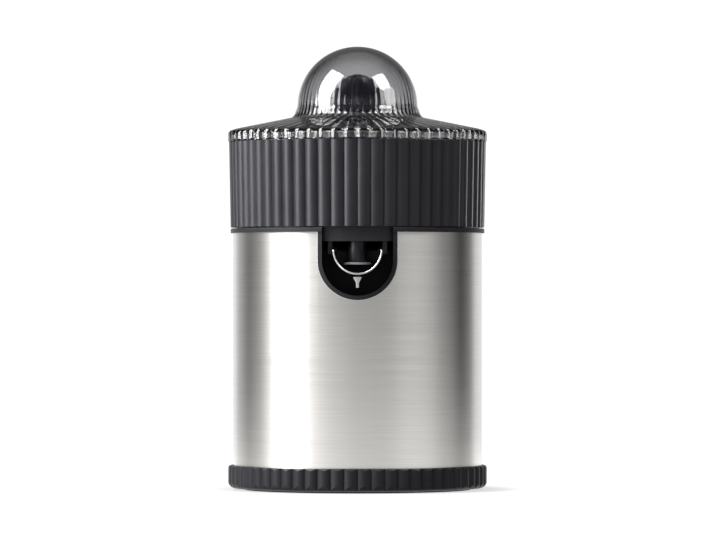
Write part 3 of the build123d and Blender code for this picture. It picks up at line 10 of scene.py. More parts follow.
import bpy
import numpy as np
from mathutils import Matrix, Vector


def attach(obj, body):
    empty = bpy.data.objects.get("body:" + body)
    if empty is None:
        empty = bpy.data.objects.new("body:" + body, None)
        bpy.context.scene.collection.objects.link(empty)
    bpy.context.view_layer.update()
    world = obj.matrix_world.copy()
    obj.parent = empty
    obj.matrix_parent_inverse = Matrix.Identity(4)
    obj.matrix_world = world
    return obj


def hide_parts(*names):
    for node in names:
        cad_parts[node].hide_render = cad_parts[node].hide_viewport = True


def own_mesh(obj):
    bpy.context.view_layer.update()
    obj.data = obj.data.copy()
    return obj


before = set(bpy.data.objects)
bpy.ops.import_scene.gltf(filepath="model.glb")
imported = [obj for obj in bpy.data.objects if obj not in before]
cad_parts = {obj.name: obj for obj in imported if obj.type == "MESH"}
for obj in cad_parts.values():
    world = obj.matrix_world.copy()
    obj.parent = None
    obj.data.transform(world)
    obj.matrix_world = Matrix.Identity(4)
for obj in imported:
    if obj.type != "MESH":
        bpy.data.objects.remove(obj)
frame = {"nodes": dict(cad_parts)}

MM = 0.001
FLUTES = 60
NOISE_LOW = 0.3
NOISE_HIGH = 0.7
WAVE_SCALE = 0.314
MERGE_REACH = 2e-6
WIRE_ROUNDING = 3
WIRE_SMOOTH = 50
BEVEL_FROM = 35
FRONT_FACING = -0.9
SKY_TINT = 1.01
LOG = logging.getLogger("juicer")

Point = tuple[float, float]
Colour = tuple[float, float, float]
Flutes = list[tuple[Point, float]]
Piece = bpy.types.Object
Socket = bpy.types.NodeSocket


class Body(str, Enum):
    """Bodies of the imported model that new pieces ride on."""

    HOUSING = "housing"
    SPOUT = "spout"
    REAMER = "reamer"
    LID = "lid"


class Slot(str, Enum):
    """Names of material slots that new pieces are passed with; nothing reads them."""

    BODY_STEEL = "body_steel"
    SPOUT_STEEL = "spout_steel"
    SMOKED_CLEAR = "smoked_clear"
    REAMER = "reamer_plastic"
    BRIGHT_STEEL = "bright_steel"


class Ease(str, Enum):
    """How a mapped number runs between its ends."""

    EVEN = "LINEAR"
    SOFT = "SMOOTHSTEP"


class Nodes:
    """Wires the nodes of one tree."""

    def __init__(self, tree: bpy.types.NodeTree) -> None:
        """Takes the tree to wire."""
        self.tree = tree

    def add(self, kind: str, **values: object) -> bpy.types.Node:
        """Adds a node.

        Args:
            kind: Type name of the node.
            values: Properties of the node.

        Returns:
            The new node.
        """
        node = self.tree.nodes.new(kind)
        for name, value in values.items():
            setattr(node, name, value)
        return node

    def wire(self, source: Socket, target: Socket) -> None:
        """Links one socket to another."""
        self.tree.links.new(source, target)

    def levels(
        self, factor: Socket, low: float, high: float, ends: Point = (0.0, 1.0), ease: Ease = Ease.EVEN
    ) -> Socket:
        """Maps a number between two ends to a range of numbers.

        Args:
            factor: Number to map.
            low: Result at the first end.
            high: Result at the last end.
            ends: The two ends.
            ease: How the result runs between them.

        Returns:
            The mapped number.
        """
        node = self.add("ShaderNodeMapRange", interpolation_type=ease.value)
        node.inputs["From Min"].default_value = ends[0]
        node.inputs["From Max"].default_value = ends[1]
        node.inputs["To Min"].default_value = low
        node.inputs["To Max"].default_value = high
        self.wire(factor, node.inputs["Value"])
        return node.outputs["Result"]

    def scaled(self, colour: Socket, share: Socket) -> Socket:
        """Scales a colour.

        Args:
            colour: Colour to scale.
            share: Share to scale it by.

        Returns:
            The scaled colour.
        """
        node = self.add("ShaderNodeVectorMath", operation="SCALE")
        self.wire(colour, node.inputs[0])
        self.wire(share, node.inputs["Scale"])
        return node.outputs["Vector"]


class Graph(Nodes):
    """Wires the nodes of one material."""

    def __init__(self, name: str) -> None:
        """Starts a material with its principled shader.

        Args:
            name: Name of the material.
        """
        self.material = bpy.data.materials.new(name)
        self.material.use_nodes = True
        super().__init__(self.material.node_tree)
        self.shader = self.tree.nodes["Principled BSDF"]
        self.place = self.add("ShaderNodeTexCoord").outputs["Object"]

    def feed(self, source: Socket, name: str) -> None:
        """Links a socket to one of the shader's inputs."""
        self.wire(source, self.shader.inputs[name])

    def put(self, **values: object) -> None:
        """Sets constant sockets of the shader, with spaces written as underscores."""
        for name, value in values.items():
            self.shader.inputs[name.replace("_", " ")].default_value = value

    def stretched(self, scale: tuple[float, float, float]) -> Socket:
        """Stretches the object's coordinates.

        Args:
            scale: Scale on each axis.

        Returns:
            The stretched coordinates.
        """
        mapping = self.add("ShaderNodeMapping")
        mapping.inputs["Scale"].default_value = scale
        self.wire(self.place, mapping.inputs["Vector"])
        return mapping.outputs["Vector"]

    def length(self, place: Socket) -> Socket:
        """Measures how far coordinates are from the origin.

        Args:
            place: Coordinates to measure.

        Returns:
            The distance.
        """
        node = self.add("ShaderNodeVectorMath", operation="LENGTH")
        self.wire(place, node.inputs[0])
        return node.outputs["Value"]

    def noise(self, place: Socket, scale: float, detail: float) -> Socket:
        """Adds noise.

        Args:
            place: Coordinates that the noise reads.
            scale: Features per metre.
            detail: Number of finer layers.

        Returns:
            The noise value, about one half on average.
        """
        node = self.add("ShaderNodeTexNoise")
        node.inputs["Scale"].default_value = scale
        node.inputs["Detail"].default_value = detail
        self.wire(place, node.inputs["Vector"])
        return node.outputs["Fac"]

    def blend(self, factor: Socket, low: Colour, high: Colour) -> Socket:
        """Runs a noise value through two colours.

        Args:
            factor: Noise value.
            low: Colour of its low values.
            high: Colour of its high values.

        Returns:
            The colour.
        """
        ramp = self.add("ShaderNodeValToRGB")
        first, last = ramp.color_ramp.elements
        first.position = NOISE_LOW
        last.position = NOISE_HIGH
        first.color = (*low, 1.0)
        last.color = (*high, 1.0)
        self.wire(factor, ramp.inputs["Fac"])
        return ramp.outputs["Color"]

    def spread(self, factor: Socket, low: float, high: float) -> Socket:
        """Maps a noise value to a range of numbers."""
        return self.levels(factor, low, high, (NOISE_LOW, NOISE_HIGH))

    def relief(self, height: Socket, strength: float, depth: float) -> None:
        """Bumps the surface.

        Args:
            height: Height of the surface.
            strength: Share of the bump that shows.
            depth: Depth of the bump, in metres.
        """
        bump = self.add("ShaderNodeBump")
        bump.inputs["Strength"].default_value = strength
        bump.inputs["Distance"].default_value = depth
        self.wire(height, bump.inputs["Height"])
        self.feed(bump.outputs["Normal"], "Normal")


def shade(colour: Colour, share: float) -> Colour:
    """Scales a colour by a share."""
    return (colour[0] * share, colour[1] * share, colour[2] * share)


class Finish(ABC):
    """A surface finish that makes its material once."""

    made: dict[str, bpy.types.Material] = {}
    name: str

    @abstractmethod
    def wire(self, graph: Graph) -> None:
        """Wires the finish's nodes into a graph."""

    def material(self) -> bpy.types.Material:
        """Makes the material of the finish on first use.

        Returns:
            The material.
        """
        if self.name not in Finish.made:
            graph = Graph(self.name)
            self.wire(graph)
            Finish.made[self.name] = graph.material
        return Finish.made[self.name]

    def dress(self, piece: Piece) -> None:
        """Puts the material on all of a piece."""
        piece.data.materials.clear()
        piece.data.materials.append(self.material())


@dataclass(frozen=True)
class MouldedPlastic(Finish):
    """Spark-eroded moulded plastic with a fine grain and a faint mottle."""

    name: str
    colour: Colour
    roughness: float
    grain: float = 2600.0
    relief: float = 0.12
    mottle: float = 0.10
    gloss: float = 0.5
    cloud: float = 70.0
    drift: float = 0.03
    grain_depth: float = 0.0002

    def wire(self, graph: Graph) -> None:
        """Wires colour mottle, roughness drift and grain relief.

        Args:
            graph: Graph of the material.
        """
        cloud = graph.noise(graph.place, self.cloud, 3.0)
        grain = graph.noise(graph.place, self.grain, 2.0)
        dark = shade(self.colour, 1 - self.mottle)
        light = shade(self.colour, 1 + self.mottle)
        graph.feed(graph.blend(cloud, dark, light), "Base Color")
        rough = graph.spread(cloud, self.roughness - self.drift, self.roughness + self.drift)
        graph.feed(rough, "Roughness")
        graph.relief(grain, self.relief, self.grain_depth)
        graph.put(Specular_IOR_Level=self.gloss)


@dataclass(frozen=True)
class PaintedWellShadePlastic(MouldedPlastic):
    """Moulded plastic with painted shade: its colour is darkened inside a well at the front."""

    rim_radius: float = 0.0752
    well_radius: float = 0.0728
    well_rear: float = -0.0445
    rear_edge: float = -0.0430
    well_shade_share: float = 0.12

    def wire(self, graph: Graph) -> None:
        """Wires the plastic, then paints shade inside the well by darkening its colour.

        Args:
            graph: Graph of the material.
        """
        super().wire(graph)
        across = graph.length(graph.stretched((1.0, 1.0, 0.0)))
        outer = graph.levels(across, 0.0, 1.0, (self.well_radius, self.rim_radius))
        parts = graph.add("ShaderNodeSeparateXYZ")
        graph.wire(graph.place, parts.inputs[0])
        behind = graph.levels(parts.outputs["Y"], 0.0, 1.0, (self.well_rear, self.rear_edge))
        outside = graph.add("ShaderNodeMath", operation="MAXIMUM")
        graph.wire(outer, outside.inputs[0])
        graph.wire(behind, outside.inputs[1])
        # Painted shade: inside the well the base colour is scaled down to a small share of its tone.
        tone = graph.shader.inputs["Base Color"].links[0].from_socket
        share = graph.levels(outside.outputs[0], self.well_shade_share, 1.0)
        graph.feed(graph.scaled(tone, share), "Base Color")


@dataclass(frozen=True)
class BrushedSteel(Finish):
    """Steel sheet brushed round the upright axis."""

    name: str
    colour: Colour
    roughness: float
    anisotropy: float
    line_pitch: float = 3600.0
    line_run: float = 24.0
    band_pitch: float = 420.0
    band_run: float = 9.0
    tones: Point = (0.93, 1.06)
    drift: float = 0.015
    relief: float = 0.10
    line_depth: float = 0.00004

    def wire(self, graph: Graph) -> None:
        """Wires brush lines into colour, roughness and relief, with a round tangent.

        Args:
            graph: Graph of the material.
        """
        lines = graph.noise(graph.stretched((self.line_run, self.line_run, self.line_pitch)), 1.0, 2.0)
        bands = graph.noise(graph.stretched((self.band_run, self.band_run, self.band_pitch)), 1.0, 3.0)
        tone = graph.blend(lines, shade(self.colour, self.tones[0]), shade(self.colour, self.tones[1]))
        graph.feed(tone, "Base Color")
        wear = graph.spread(bands, self.roughness - self.drift, self.roughness + self.drift)
        graph.feed(wear, "Roughness")
        graph.relief(lines, self.relief, self.line_depth)
        tangent = graph.add("ShaderNodeTangent", direction_type="RADIAL", axis="Z")
        graph.feed(tangent.outputs["Tangent"], "Tangent")
        graph.put(Metallic=1.0, Anisotropic=self.anisotropy, Anisotropic_Rotation=0.25)


@dataclass(frozen=True)
class TurnedMetal(Finish):
    """Turned, drawn or stamped metal with fine tool marks."""

    name: str
    colour: Colour
    roughness: float
    marks: float = 3000.0
    mark_run: float = 160.0
    stain: float = 55.0
    tones: Point = (0.88, 1.08)
    drift: float = 0.06
    relief: float = 0.12
    mark_depth: float = 0.00005

    def wire(self, graph: Graph) -> None:
        """Wires tool marks into colour, roughness and relief.

        Args:
            graph: Graph of the material.
        """
        marks = graph.noise(graph.stretched((self.mark_run, self.mark_run, self.marks)), 1.0, 3.0)
        stain = graph.noise(graph.place, self.stain, 3.0)
        tone = graph.blend(stain, shade(self.colour, self.tones[0]), shade(self.colour, self.tones[1]))
        graph.feed(tone, "Base Color")
        rough = graph.spread(marks, self.roughness - self.drift, self.roughness + self.drift)
        graph.feed(rough, "Roughness")
        graph.relief(marks, self.relief, self.mark_depth)
        graph.put(Metallic=1.0)


class Across(str, Enum):
    """Axis that stripes follow one another along."""

    SIDEWAYS = "X"
    UPWARDS = "Z"


@dataclass(frozen=True)
class StripedMetal(Finish):
    """Metal in even stripes: core sheets with varnish between them, or turns of enamelled wire."""

    name: str
    colour: Colour
    pitch: float
    across: Across
    waver: float
    dark_share: float
    roughness: Point
    relief: float
    depth: float
    metal: float
    varnish: float = 0.0

    def wire(self, graph: Graph) -> None:
        """Wires the stripes into colour, roughness and relief.

        Args:
            graph: Graph of the material.
        """
        wave = graph.add("ShaderNodeTexWave", wave_type="BANDS", bands_direction=self.across.value)
        wave.inputs["Scale"].default_value = WAVE_SCALE / self.pitch
        wave.inputs["Distortion"].default_value = self.waver
        graph.wire(graph.place, wave.inputs["Vector"])
        stripes = wave.outputs["Fac"]
        graph.feed(graph.blend(stripes, shade(self.colour, self.dark_share), self.colour), "Base Color")
        graph.feed(graph.spread(stripes, *self.roughness), "Roughness")
        graph.relief(stripes, self.relief, self.depth)
        graph.put(Metallic=self.metal, Coat_Weight=self.varnish)


@dataclass(frozen=True)
class ClearPlastic(Finish):
    """Smoked clear plastic with a faint flow pattern."""

    name: str
    tint: Colour
    roughness: float
    index: float
    smoke: float
    smoke_colour: Colour = (0.04, 0.04, 0.05)
    flow: float = 26.0
    tones: Point = (0.97, 1.03)
    drift: float = 0.3

    def wire(self, graph: Graph) -> None:
        """Wires the tint's faint flow and the clear body.

        Args:
            graph: Graph of the material.
        """
        flow = graph.noise(graph.place, self.flow, 2.0)
        tone = graph.blend(flow, shade(self.tint, self.tones[0]), shade(self.tint, self.tones[1]))
        graph.feed(tone, "Base Color")
        low = self.roughness * (1 - self.drift)
        high = self.roughness * (1 + self.drift)
        graph.feed(graph.spread(flow, low, high), "Roughness")
        graph.put(Transmission_Weight=1.0, IOR=self.index)
        body = graph.add("ShaderNodeVolumeAbsorption")
        body.inputs["Color"].default_value = (*self.smoke_colour, 1.0)
        body.inputs["Density"].default_value = self.smoke
        graph.wire(body.outputs["Volume"], graph.tree.nodes["Material Output"].inputs["Volume"])


ANTHRACITE = MouldedPlastic("anthracite moulding", (0.014, 0.014, 0.018), 0.37, gloss=0.40)
BASE_PLASTIC = MouldedPlastic("anthracite base", (0.015, 0.015, 0.018), 0.44, gloss=0.26)
DECK_PLASTIC = PaintedWellShadePlastic("anthracite deck with painted shade", (0.015, 0.015, 0.018), 0.46, gloss=0.22)
BODY_STEEL = BrushedSteel("brushed sleeve steel", (0.62, 0.605, 0.58), 0.30, 0.75)
SPOUT_STEEL = TurnedMetal("spout steel", (0.86, 0.855, 0.84), 0.36)
SPOUT_SHADE_BLACK = MouldedPlastic("spout painted shade black", (0.010, 0.010, 0.012), 0.42, gloss=0.3)
SMOKED_CLEAR = ClearPlastic("smoked clear plastic", (0.95, 0.95, 0.955), 0.015, 1.49, 150.0)
REAMER_PLASTIC = MouldedPlastic(
    "reamer moulding", (0.005, 0.006, 0.016), 0.30, relief=0.03, gloss=0.18
)
STRAINER_PLASTIC = MouldedPlastic("strainer moulding", (0.024, 0.025, 0.030), 0.30, relief=0.06)
SILICONE = MouldedPlastic("silicone", (0.34, 0.34, 0.35), 0.45, grain=900.0, relief=0.05)
FOOT_RUBBER = MouldedPlastic("foot rubber", (0.014, 0.014, 0.015), 0.78, grain=1400.0, relief=0.3)
INNER_PLASTIC = MouldedPlastic("inner moulding", (0.055, 0.056, 0.060), 0.48)
GEAR_PLASTIC = MouldedPlastic("gear acetal", (0.74, 0.72, 0.66), 0.34, relief=0.04, mottle=0.04)
MAGNET = MouldedPlastic("sintered magnet", (0.030, 0.029, 0.028), 0.55, grain=1800.0, relief=0.25)
BRONZE = TurnedMetal("bearing bronze", (0.60, 0.40, 0.20), 0.34)
BRIGHT_STEEL = TurnedMetal("bright steel", (0.58, 0.58, 0.57), 0.24)
BLACK_STEEL = TurnedMetal("blackened steel", (0.05, 0.05, 0.052), 0.40)
CAST_ALLOY = TurnedMetal("cast alloy", (0.50, 0.50, 0.50), 0.46, marks=420.0)
CORE_STEEL = StripedMetal(
    "core sheets", (0.34, 0.34, 0.35), pitch=0.0005, across=Across.UPWARDS, waver=0.4,
    dark_share=0.5, roughness=(0.62, 0.38), relief=0.5, depth=0.0001, metal=0.85,
)
COPPER = StripedMetal(
    "copper winding", (0.72, 0.30, 0.12), pitch=0.0006, across=Across.SIDEWAYS, waver=0.8,
    dark_share=0.35, roughness=(0.5, 0.28), relief=0.8, depth=0.0002, metal=0.9, varnish=0.4,
)

CAD_FINISHES: dict[Finish, tuple[str, ...]] = {
    ANTHRACITE: ("collector_bowl",),
    BASE_PLASTIC: ("base_ring",),
    DECK_PLASTIC: ("top_deck",),
    BODY_STEEL: ("sleeve",),
    STRAINER_PLASTIC: ("strainer", "shaft_bush"),
    SILICONE: ("outlet_seal", "shaft_seal"),
    FOOT_RUBBER: ("foot_ring",),
    INNER_PLASTIC: (
        "bottom_plate", "cord_gland", "chassis", "gearbox_case", "gearbox_cover", "switch_body",
        "coil_bobbins", "terminal_block", "press_collar",
    ),
    GEAR_PLASTIC: ("output_gear", "compound_gear", "motor_pinion", "switch_plunger"),
    MAGNET: ("rotor_magnet",),
    BRONZE: ("output_bush_lower", "output_bush_upper", "rotor_bushes"),
    BRIGHT_STEEL: (
        "base_screws", "deck_screws", "gearbox_screws", "gear_pin", "drive_shaft", "collar_pin",
        "switch_screws", "motor_spacers", "motor_screws", "rotor_shaft", "terminal_screws",
        "bush_clip",
    ),
    BLACK_STEEL: ("spout_pins",),
    CAST_ALLOY: ("motor_bracket_upper", "motor_bracket_lower"),
    CORE_STEEL: ("stator_core",),
    COPPER: ("coil_windings",),
}


class Bench:
    """The modelling steps that all pieces share."""

    @staticmethod
    def start(name: str, first: Vector) -> Piece:
        """Starts a piece as one vertex, in edit mode.

        Args:
            name: Name of the piece.
            first: Place of the vertex.

        Returns:
            The new object.
        """
        bpy.ops.object.select_all(action="DESELECT")
        bpy.ops.mesh.primitive_plane_add(size=MM, location=(0, 0, 0))
        piece = bpy.context.object
        piece.name = name
        piece.data.name = name
        bpy.ops.object.mode_set(mode="EDIT")
        bpy.ops.mesh.select_mode(type="VERT")
        bpy.ops.mesh.select_all(action="SELECT")
        bpy.ops.mesh.merge(type="CENTER")
        bpy.ops.transform.translate(value=first)
        return piece

    @classmethod
    def draw(cls, name: str, points: Sequence[Vector]) -> Piece:
        """Starts a piece and draws a line through points, in edit mode.

        Args:
            name: Name of the piece.
            points: Points along the line.

        Returns:
            The new object.
        """
        piece = cls.start(name, points[0])
        for here, there in zip(points, points[1:]):
            bpy.ops.mesh.extrude_vertices_move(TRANSFORM_OT_translate={"value": there - here})
        return piece

    @classmethod
    def lathe(cls, name: str, profile: Sequence[Point], columns: int) -> Piece:
        """Turns a profile round the upright axis.

        Args:
            name: Name of the piece.
            profile: Radius and height of each point, in millimetres.
            columns: Number of steps round the axis.

        Returns:
            The turned piece, with its normals outwards.
        """
        piece = cls.draw(name, [Vector((radius * MM, 0, height * MM)) for radius, height in profile])
        bpy.ops.mesh.select_all(action="SELECT")
        bpy.ops.mesh.spin(steps=columns, angle=math.tau, center=(0, 0, 0), axis=(0, 0, 1))
        cls.close()
        return piece

    @classmethod
    def prism(cls, name: str, outline: Sequence[Point], front: float, depth: float) -> Piece:
        """Extrudes an upright outline backwards.

        Args:
            name: Name of the piece.
            outline: Across and up of each corner, in millimetres.
            front: Place of the front face along the depth axis, in millimetres.
            depth: Depth of the piece, in millimetres.

        Returns:
            The piece.
        """
        piece = cls.draw(name, [Vector((across * MM, front * MM, up * MM)) for across, up in outline])
        bpy.ops.mesh.select_all(action="SELECT")
        bpy.ops.mesh.edge_face_add()
        bpy.ops.mesh.extrude_region_move(TRANSFORM_OT_translate={"value": (0, depth * MM, 0)})
        cls.close()
        return piece

    @classmethod
    def wire(cls, name: str, points: Sequence[Vector], radius: float) -> Piece:
        """Rounds a drawn line into a wire.

        Args:
            name: Name of the piece.
            points: Points along the line.
            radius: Radius of the wire, in millimetres.

        Returns:
            The wire, closed at its ends.
        """
        piece = cls.draw(name, points)
        bpy.ops.object.mode_set(mode="OBJECT")
        cls.pick(piece)
        bpy.ops.object.convert(target="CURVE")
        line = bpy.context.object.data
        line.bevel_depth = radius * MM
        line.bevel_resolution = WIRE_ROUNDING
        line.use_fill_caps = True
        bpy.ops.object.convert(target="MESH")
        piece = bpy.context.object
        bpy.ops.object.mode_set(mode="EDIT")
        cls.close()
        cls.smooth(piece, WIRE_SMOOTH)
        return piece

    @staticmethod
    def close() -> None:
        """Merges doubles, turns the normals outwards and leaves edit mode."""
        bpy.ops.mesh.select_all(action="SELECT")
        bpy.ops.mesh.remove_doubles(threshold=MERGE_REACH)
        bpy.ops.mesh.normals_make_consistent(inside=False)
        bpy.ops.object.mode_set(mode="OBJECT")

    @staticmethod
    def pick(piece: Piece, others: Sequence[Piece] = ()) -> None:
        """Selects a piece, and others with it, and makes the piece active.

        Args:
            piece: Piece to make active.
            others: Pieces to select with it.
        """
        bpy.ops.object.select_all(action="DESELECT")
        for each in (*others, piece):
            each.select_set(True)
        bpy.context.view_layer.objects.active = piece

    @classmethod
    def smooth(cls, piece: Piece, degrees: float) -> None:
        """Shades a piece smooth but for edges sharper than an angle."""
        cls.pick(piece)
        bpy.ops.object.shade_smooth_by_angle(angle=math.radians(degrees))

    @classmethod
    def bevel(cls, piece: Piece, width: float, segments: int) -> None:
        """Rounds the sharp edges of a piece.

        Args:
            piece: Piece to round.
            width: Width of the rounding, in millimetres.
            segments: Number of steps across it.
        """
        cls.pick(piece)
        modifier = piece.modifiers.new("round", "BEVEL")
        modifier.width = width * MM
        modifier.segments = segments
        modifier.limit_method = "ANGLE"
        modifier.angle_limit = math.radians(BEVEL_FROM)
        bpy.ops.object.modifier_apply(modifier="round")

    @classmethod
    def join(cls, main_piece: Piece, others: Sequence[Piece]) -> None:
        """Joins other pieces into the main one."""
        cls.pick(main_piece, others)
        bpy.ops.object.join()

    @staticmethod
    def reshape(piece: Piece, change: Callable[[np.ndarray], np.ndarray]) -> None:
        """Moves every vertex of a piece.

        Args:
            piece: Piece to move the vertices of.
            change: Function that gives their new places from the old ones, in millimetres.
        """
        mesh = piece.data
        places = np.zeros(len(mesh.vertices) * 3)
        mesh.vertices.foreach_get("co", places)
        moved = change(places.reshape(-1, 3) / MM) * MM
        mesh.vertices.foreach_set("co", moved.ravel())
        mesh.update()

    @staticmethod
    def settle(piece: Piece, body: Body, slot: Slot, finish: Finish, nodes: Sequence[str]) -> None:
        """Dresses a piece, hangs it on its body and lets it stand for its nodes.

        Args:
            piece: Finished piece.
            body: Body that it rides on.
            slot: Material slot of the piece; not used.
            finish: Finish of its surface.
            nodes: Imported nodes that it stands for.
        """
        finish.dress(piece)
        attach(piece, body.value)
        if nodes:
            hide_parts(*nodes)
        LOG.info("%s: %d faces on %s", piece.name, len(piece.data.polygons), body.value)


def arc(centre: Point, radius: float, start: float, end: float, steps: int) -> list[Point]:
    """Points on an arc.

    Args:
        centre: Radius and height of the arc's centre.
        radius: Radius of the arc.
        start: First angle in degrees, from outwards, anticlockwise.
        end: Last angle in degrees.
        steps: Number of steps.

    Returns:
        The points from the first angle to the last.
    """
    angles = [math.radians(start + (end - start) * step / steps) for step in range(steps + 1)]
    return [(centre[0] + radius * math.cos(a), centre[1] + radius * math.sin(a)) for a in angles]


def run(first: Point, last: Point, steps: int) -> list[Point]:
    """Points on a straight run, its first point left out.

    Args:
        first: Point that the run starts from.
        last: Point that it ends on.
        steps: Number of steps.

    Returns:
        The points after the first one.
    """
    shares = [step / steps for step in range(1, steps + 1)]
    return [(first[0] + (last[0] - first[0]) * s, first[1] + (last[1] - first[1]) * s) for s in shares]


@dataclass
class Fluting:
    """Convex ribs round a turned piece, with sharp valleys between them."""

    depths: Flutes
    count: int = FLUTES
    reach: float = 0.01

    def cut(self, places: np.ndarray) -> np.ndarray:
        """Cuts the valleys into a turned surface.

        Args:
            places: Places of the vertices, in millimetres.

        Returns:
            The places with the valleys cut along the profile's normals.
        """
        line = np.array([point for point, _ in self.depths])
        depth = np.array([value for _, value in self.depths])
        tangent = np.gradient(line, axis=0)
        normal = np.stack([tangent[:, 1], -tangent[:, 0]], axis=1)
        normal /= np.maximum(np.linalg.norm(normal, axis=1, keepdims=True), 1e-9)
        radius = np.hypot(places[:, 0], places[:, 1])
        angle = np.arctan2(places[:, 1], places[:, 0])
        spot = np.stack([radius, places[:, 2]], axis=1)
        nearest = np.zeros(len(places), int)
        gap = np.full(len(places), np.inf)
        for index, point in enumerate(line):
            distance = np.hypot(*(spot - point).T)
            closer = distance < gap
            nearest[closer] = index
            gap[closer] = distance[closer]
        on_line = gap < self.reach
        across = np.mod(angle * self.count / math.tau, 1.0) * 2 - 1
        valley = across ** 2 * depth[nearest] * on_line
        new_radius = radius - valley * normal[nearest, 0]
        moved = places.copy()
        moved[:, 0] = new_radius * np.cos(angle)
        moved[:, 1] = new_radius * np.sin(angle)
        moved[:, 2] = places[:, 2] - valley * normal[nearest, 1]
        return moved


@dataclass
class Lid:
    """Smoked clear lid: fluted rim, sloping shoulder and smooth dome."""

    spigot_inner: float = 73.8
    spigot_outer: float = 75.6
    spigot_bottom: float = 210.6
    rim_bottom: float = 214.8
    rim_radius: float = 80.0
    rim_top: float = 219.6
    rim_chamfer: float = 0.5
    corner_centre: float = 77.6
    corner_radius: float = 2.4
    corner_end: float = 78.0
    shoulder: Point = (74.7, 223.0)
    neck: Point = (42.9, 229.4)
    flank: Point = (38.4, 233.9)
    dome_centre: float = 236.7
    dome_radius: float = 37.2
    dome_inner: float = 33.7
    dome_steps: int = 28
    wall_drop: float = 2.5
    roof: Point = (75.2, 219.9)
    hollow: float = 77.2
    hollow_round: float = 1.2
    ledge: float = 1.2
    rim_flute: float = 1.5
    corner_fade: float = 0.06
    shoulder_flute: float = 1.08
    slope_fade: float = 0.034
    neck_flute: float = 0.58
    neck_fade: float = 0.065
    flank_flute: float = 0.06
    dome_flute: float = 0.05
    dome_fade_steps: int = 8
    crown_flute: float = 0.012
    hip_swell: float = 0.39
    hip_power: int = 9
    hip_flute: float = 0.41
    foot_flute: float = 0.45
    roof_flute: float = 0.50
    foot_steps: int = 6
    columns: int = 720
    smooth_below: float = 34

    def outer(self) -> Flutes:
        """Outer profile from the rim's underside to the apex.

        Returns:
            The points with their flute depths.
        """
        rim = [
            (self.rim_radius - self.rim_chamfer, self.rim_bottom),
            (self.rim_radius, self.rim_bottom + self.rim_chamfer),
        ]
        rim += run(rim[-1], (self.rim_radius, self.rim_top), 4)
        line = [(point, self.rim_flute) for point in rim]
        corner = arc((self.corner_centre, self.rim_top), self.corner_radius, 0, self.corner_end, 7)
        line += [
            (point, self.rim_flute - self.corner_fade * step) for step, point in enumerate(corner[1:], 1)
        ]
        line += [(point, self.shoulder_flute) for point in run(line[-1][0], self.shoulder, 3)]
        slope = run(self.shoulder, self.neck, 14)
        line += [
            (point, self.shoulder_flute - self.slope_fade * step) for step, point in enumerate(slope)
        ]
        bend = arc((self.neck[0], self.flank[1]), self.neck[0] - self.flank[0], 270, 180, 8)
        line += [
            (point, self.neck_flute - self.neck_fade * step) for step, point in enumerate(bend[1:])
        ]
        foot = (self.dome_radius, self.dome_centre)
        line += [(point, self.flank_flute) for point in run(self.flank, foot, 2)]
        dome = arc((0, self.dome_centre), self.dome_radius, 0, 90, self.dome_steps)
        line += [
            (point, self.dome_flute * max(0.0, 1 - step / self.dome_fade_steps) ** 2)
            for step, point in enumerate(dome[1:-1], 1)
        ]
        line.append(((0.0, dome[-1][1]), 0.0))
        return line

    def inner(self) -> Flutes:
        """Inner profile from the apex to the rim's roof.

        Returns:
            The points with their flute depths.
        """
        dome = arc((0, self.dome_centre), self.dome_inner, 90, 0, self.dome_steps)
        line = [((0.0, dome[0][1]), 0.0)]
        line += [
            (point, self.crown_flute + self.hip_swell * (step / self.dome_steps) ** self.hip_power)
            for step, point in enumerate(dome[1:], 1)
        ]
        hip = (self.dome_inner, self.flank[1])
        line += [(point, self.hip_flute) for point in run(dome[-1], hip, 2)]
        foot = (self.neck[0], self.neck[1] - self.wall_drop)
        for step in range(1, self.foot_steps + 1):
            angle = math.pi / 2 * step / self.foot_steps
            radius = hip[0] + (foot[0] - hip[0]) * (1 - math.cos(angle))
            height = foot[1] + (hip[1] - foot[1]) * (1 - math.sin(angle))
            line.append(((radius, height), self.foot_flute))
        slope = run(foot, self.roof, 10)
        line += [(point, self.roof_flute) for point in slope[:-1]] + [(slope[-1], 0.0)]
        return line

    def spigot(self) -> list[Point]:
        """Profile of the rim's hollow and the spigot under it.

        Returns:
            The points from the hollow's top to the spigot's outside.
        """
        ledge = self.rim_bottom + self.ledge
        centre = (self.hollow - self.hollow_round, self.rim_top - self.hollow_round)
        return [
            *arc(centre, self.hollow_round, 70, 0, 4),
            (self.hollow, ledge),
            (self.spigot_inner, ledge),
            (self.spigot_inner, self.spigot_bottom),
            (self.spigot_outer, self.spigot_bottom),
            (self.spigot_outer, self.rim_bottom),
        ]

    def build(self) -> Piece:
        """Turns the lid, cuts its flutes and dresses it.

        Returns:
            The lid.
        """
        outer = self.outer()
        inner = self.inner()
        profile = [point for point, _ in outer + inner] + self.spigot()
        profile.append(profile[0])
        piece = Bench.lathe("clear_lid", profile, self.columns)
        Bench.reshape(piece, Fluting(outer).cut)
        Bench.reshape(piece, Fluting(inner).cut)
        Bench.smooth(piece, self.smooth_below)
        Bench.settle(piece, Body.LID, Slot.SMOKED_CLEAR, SMOKED_CLEAR, ("lid",))
        return piece


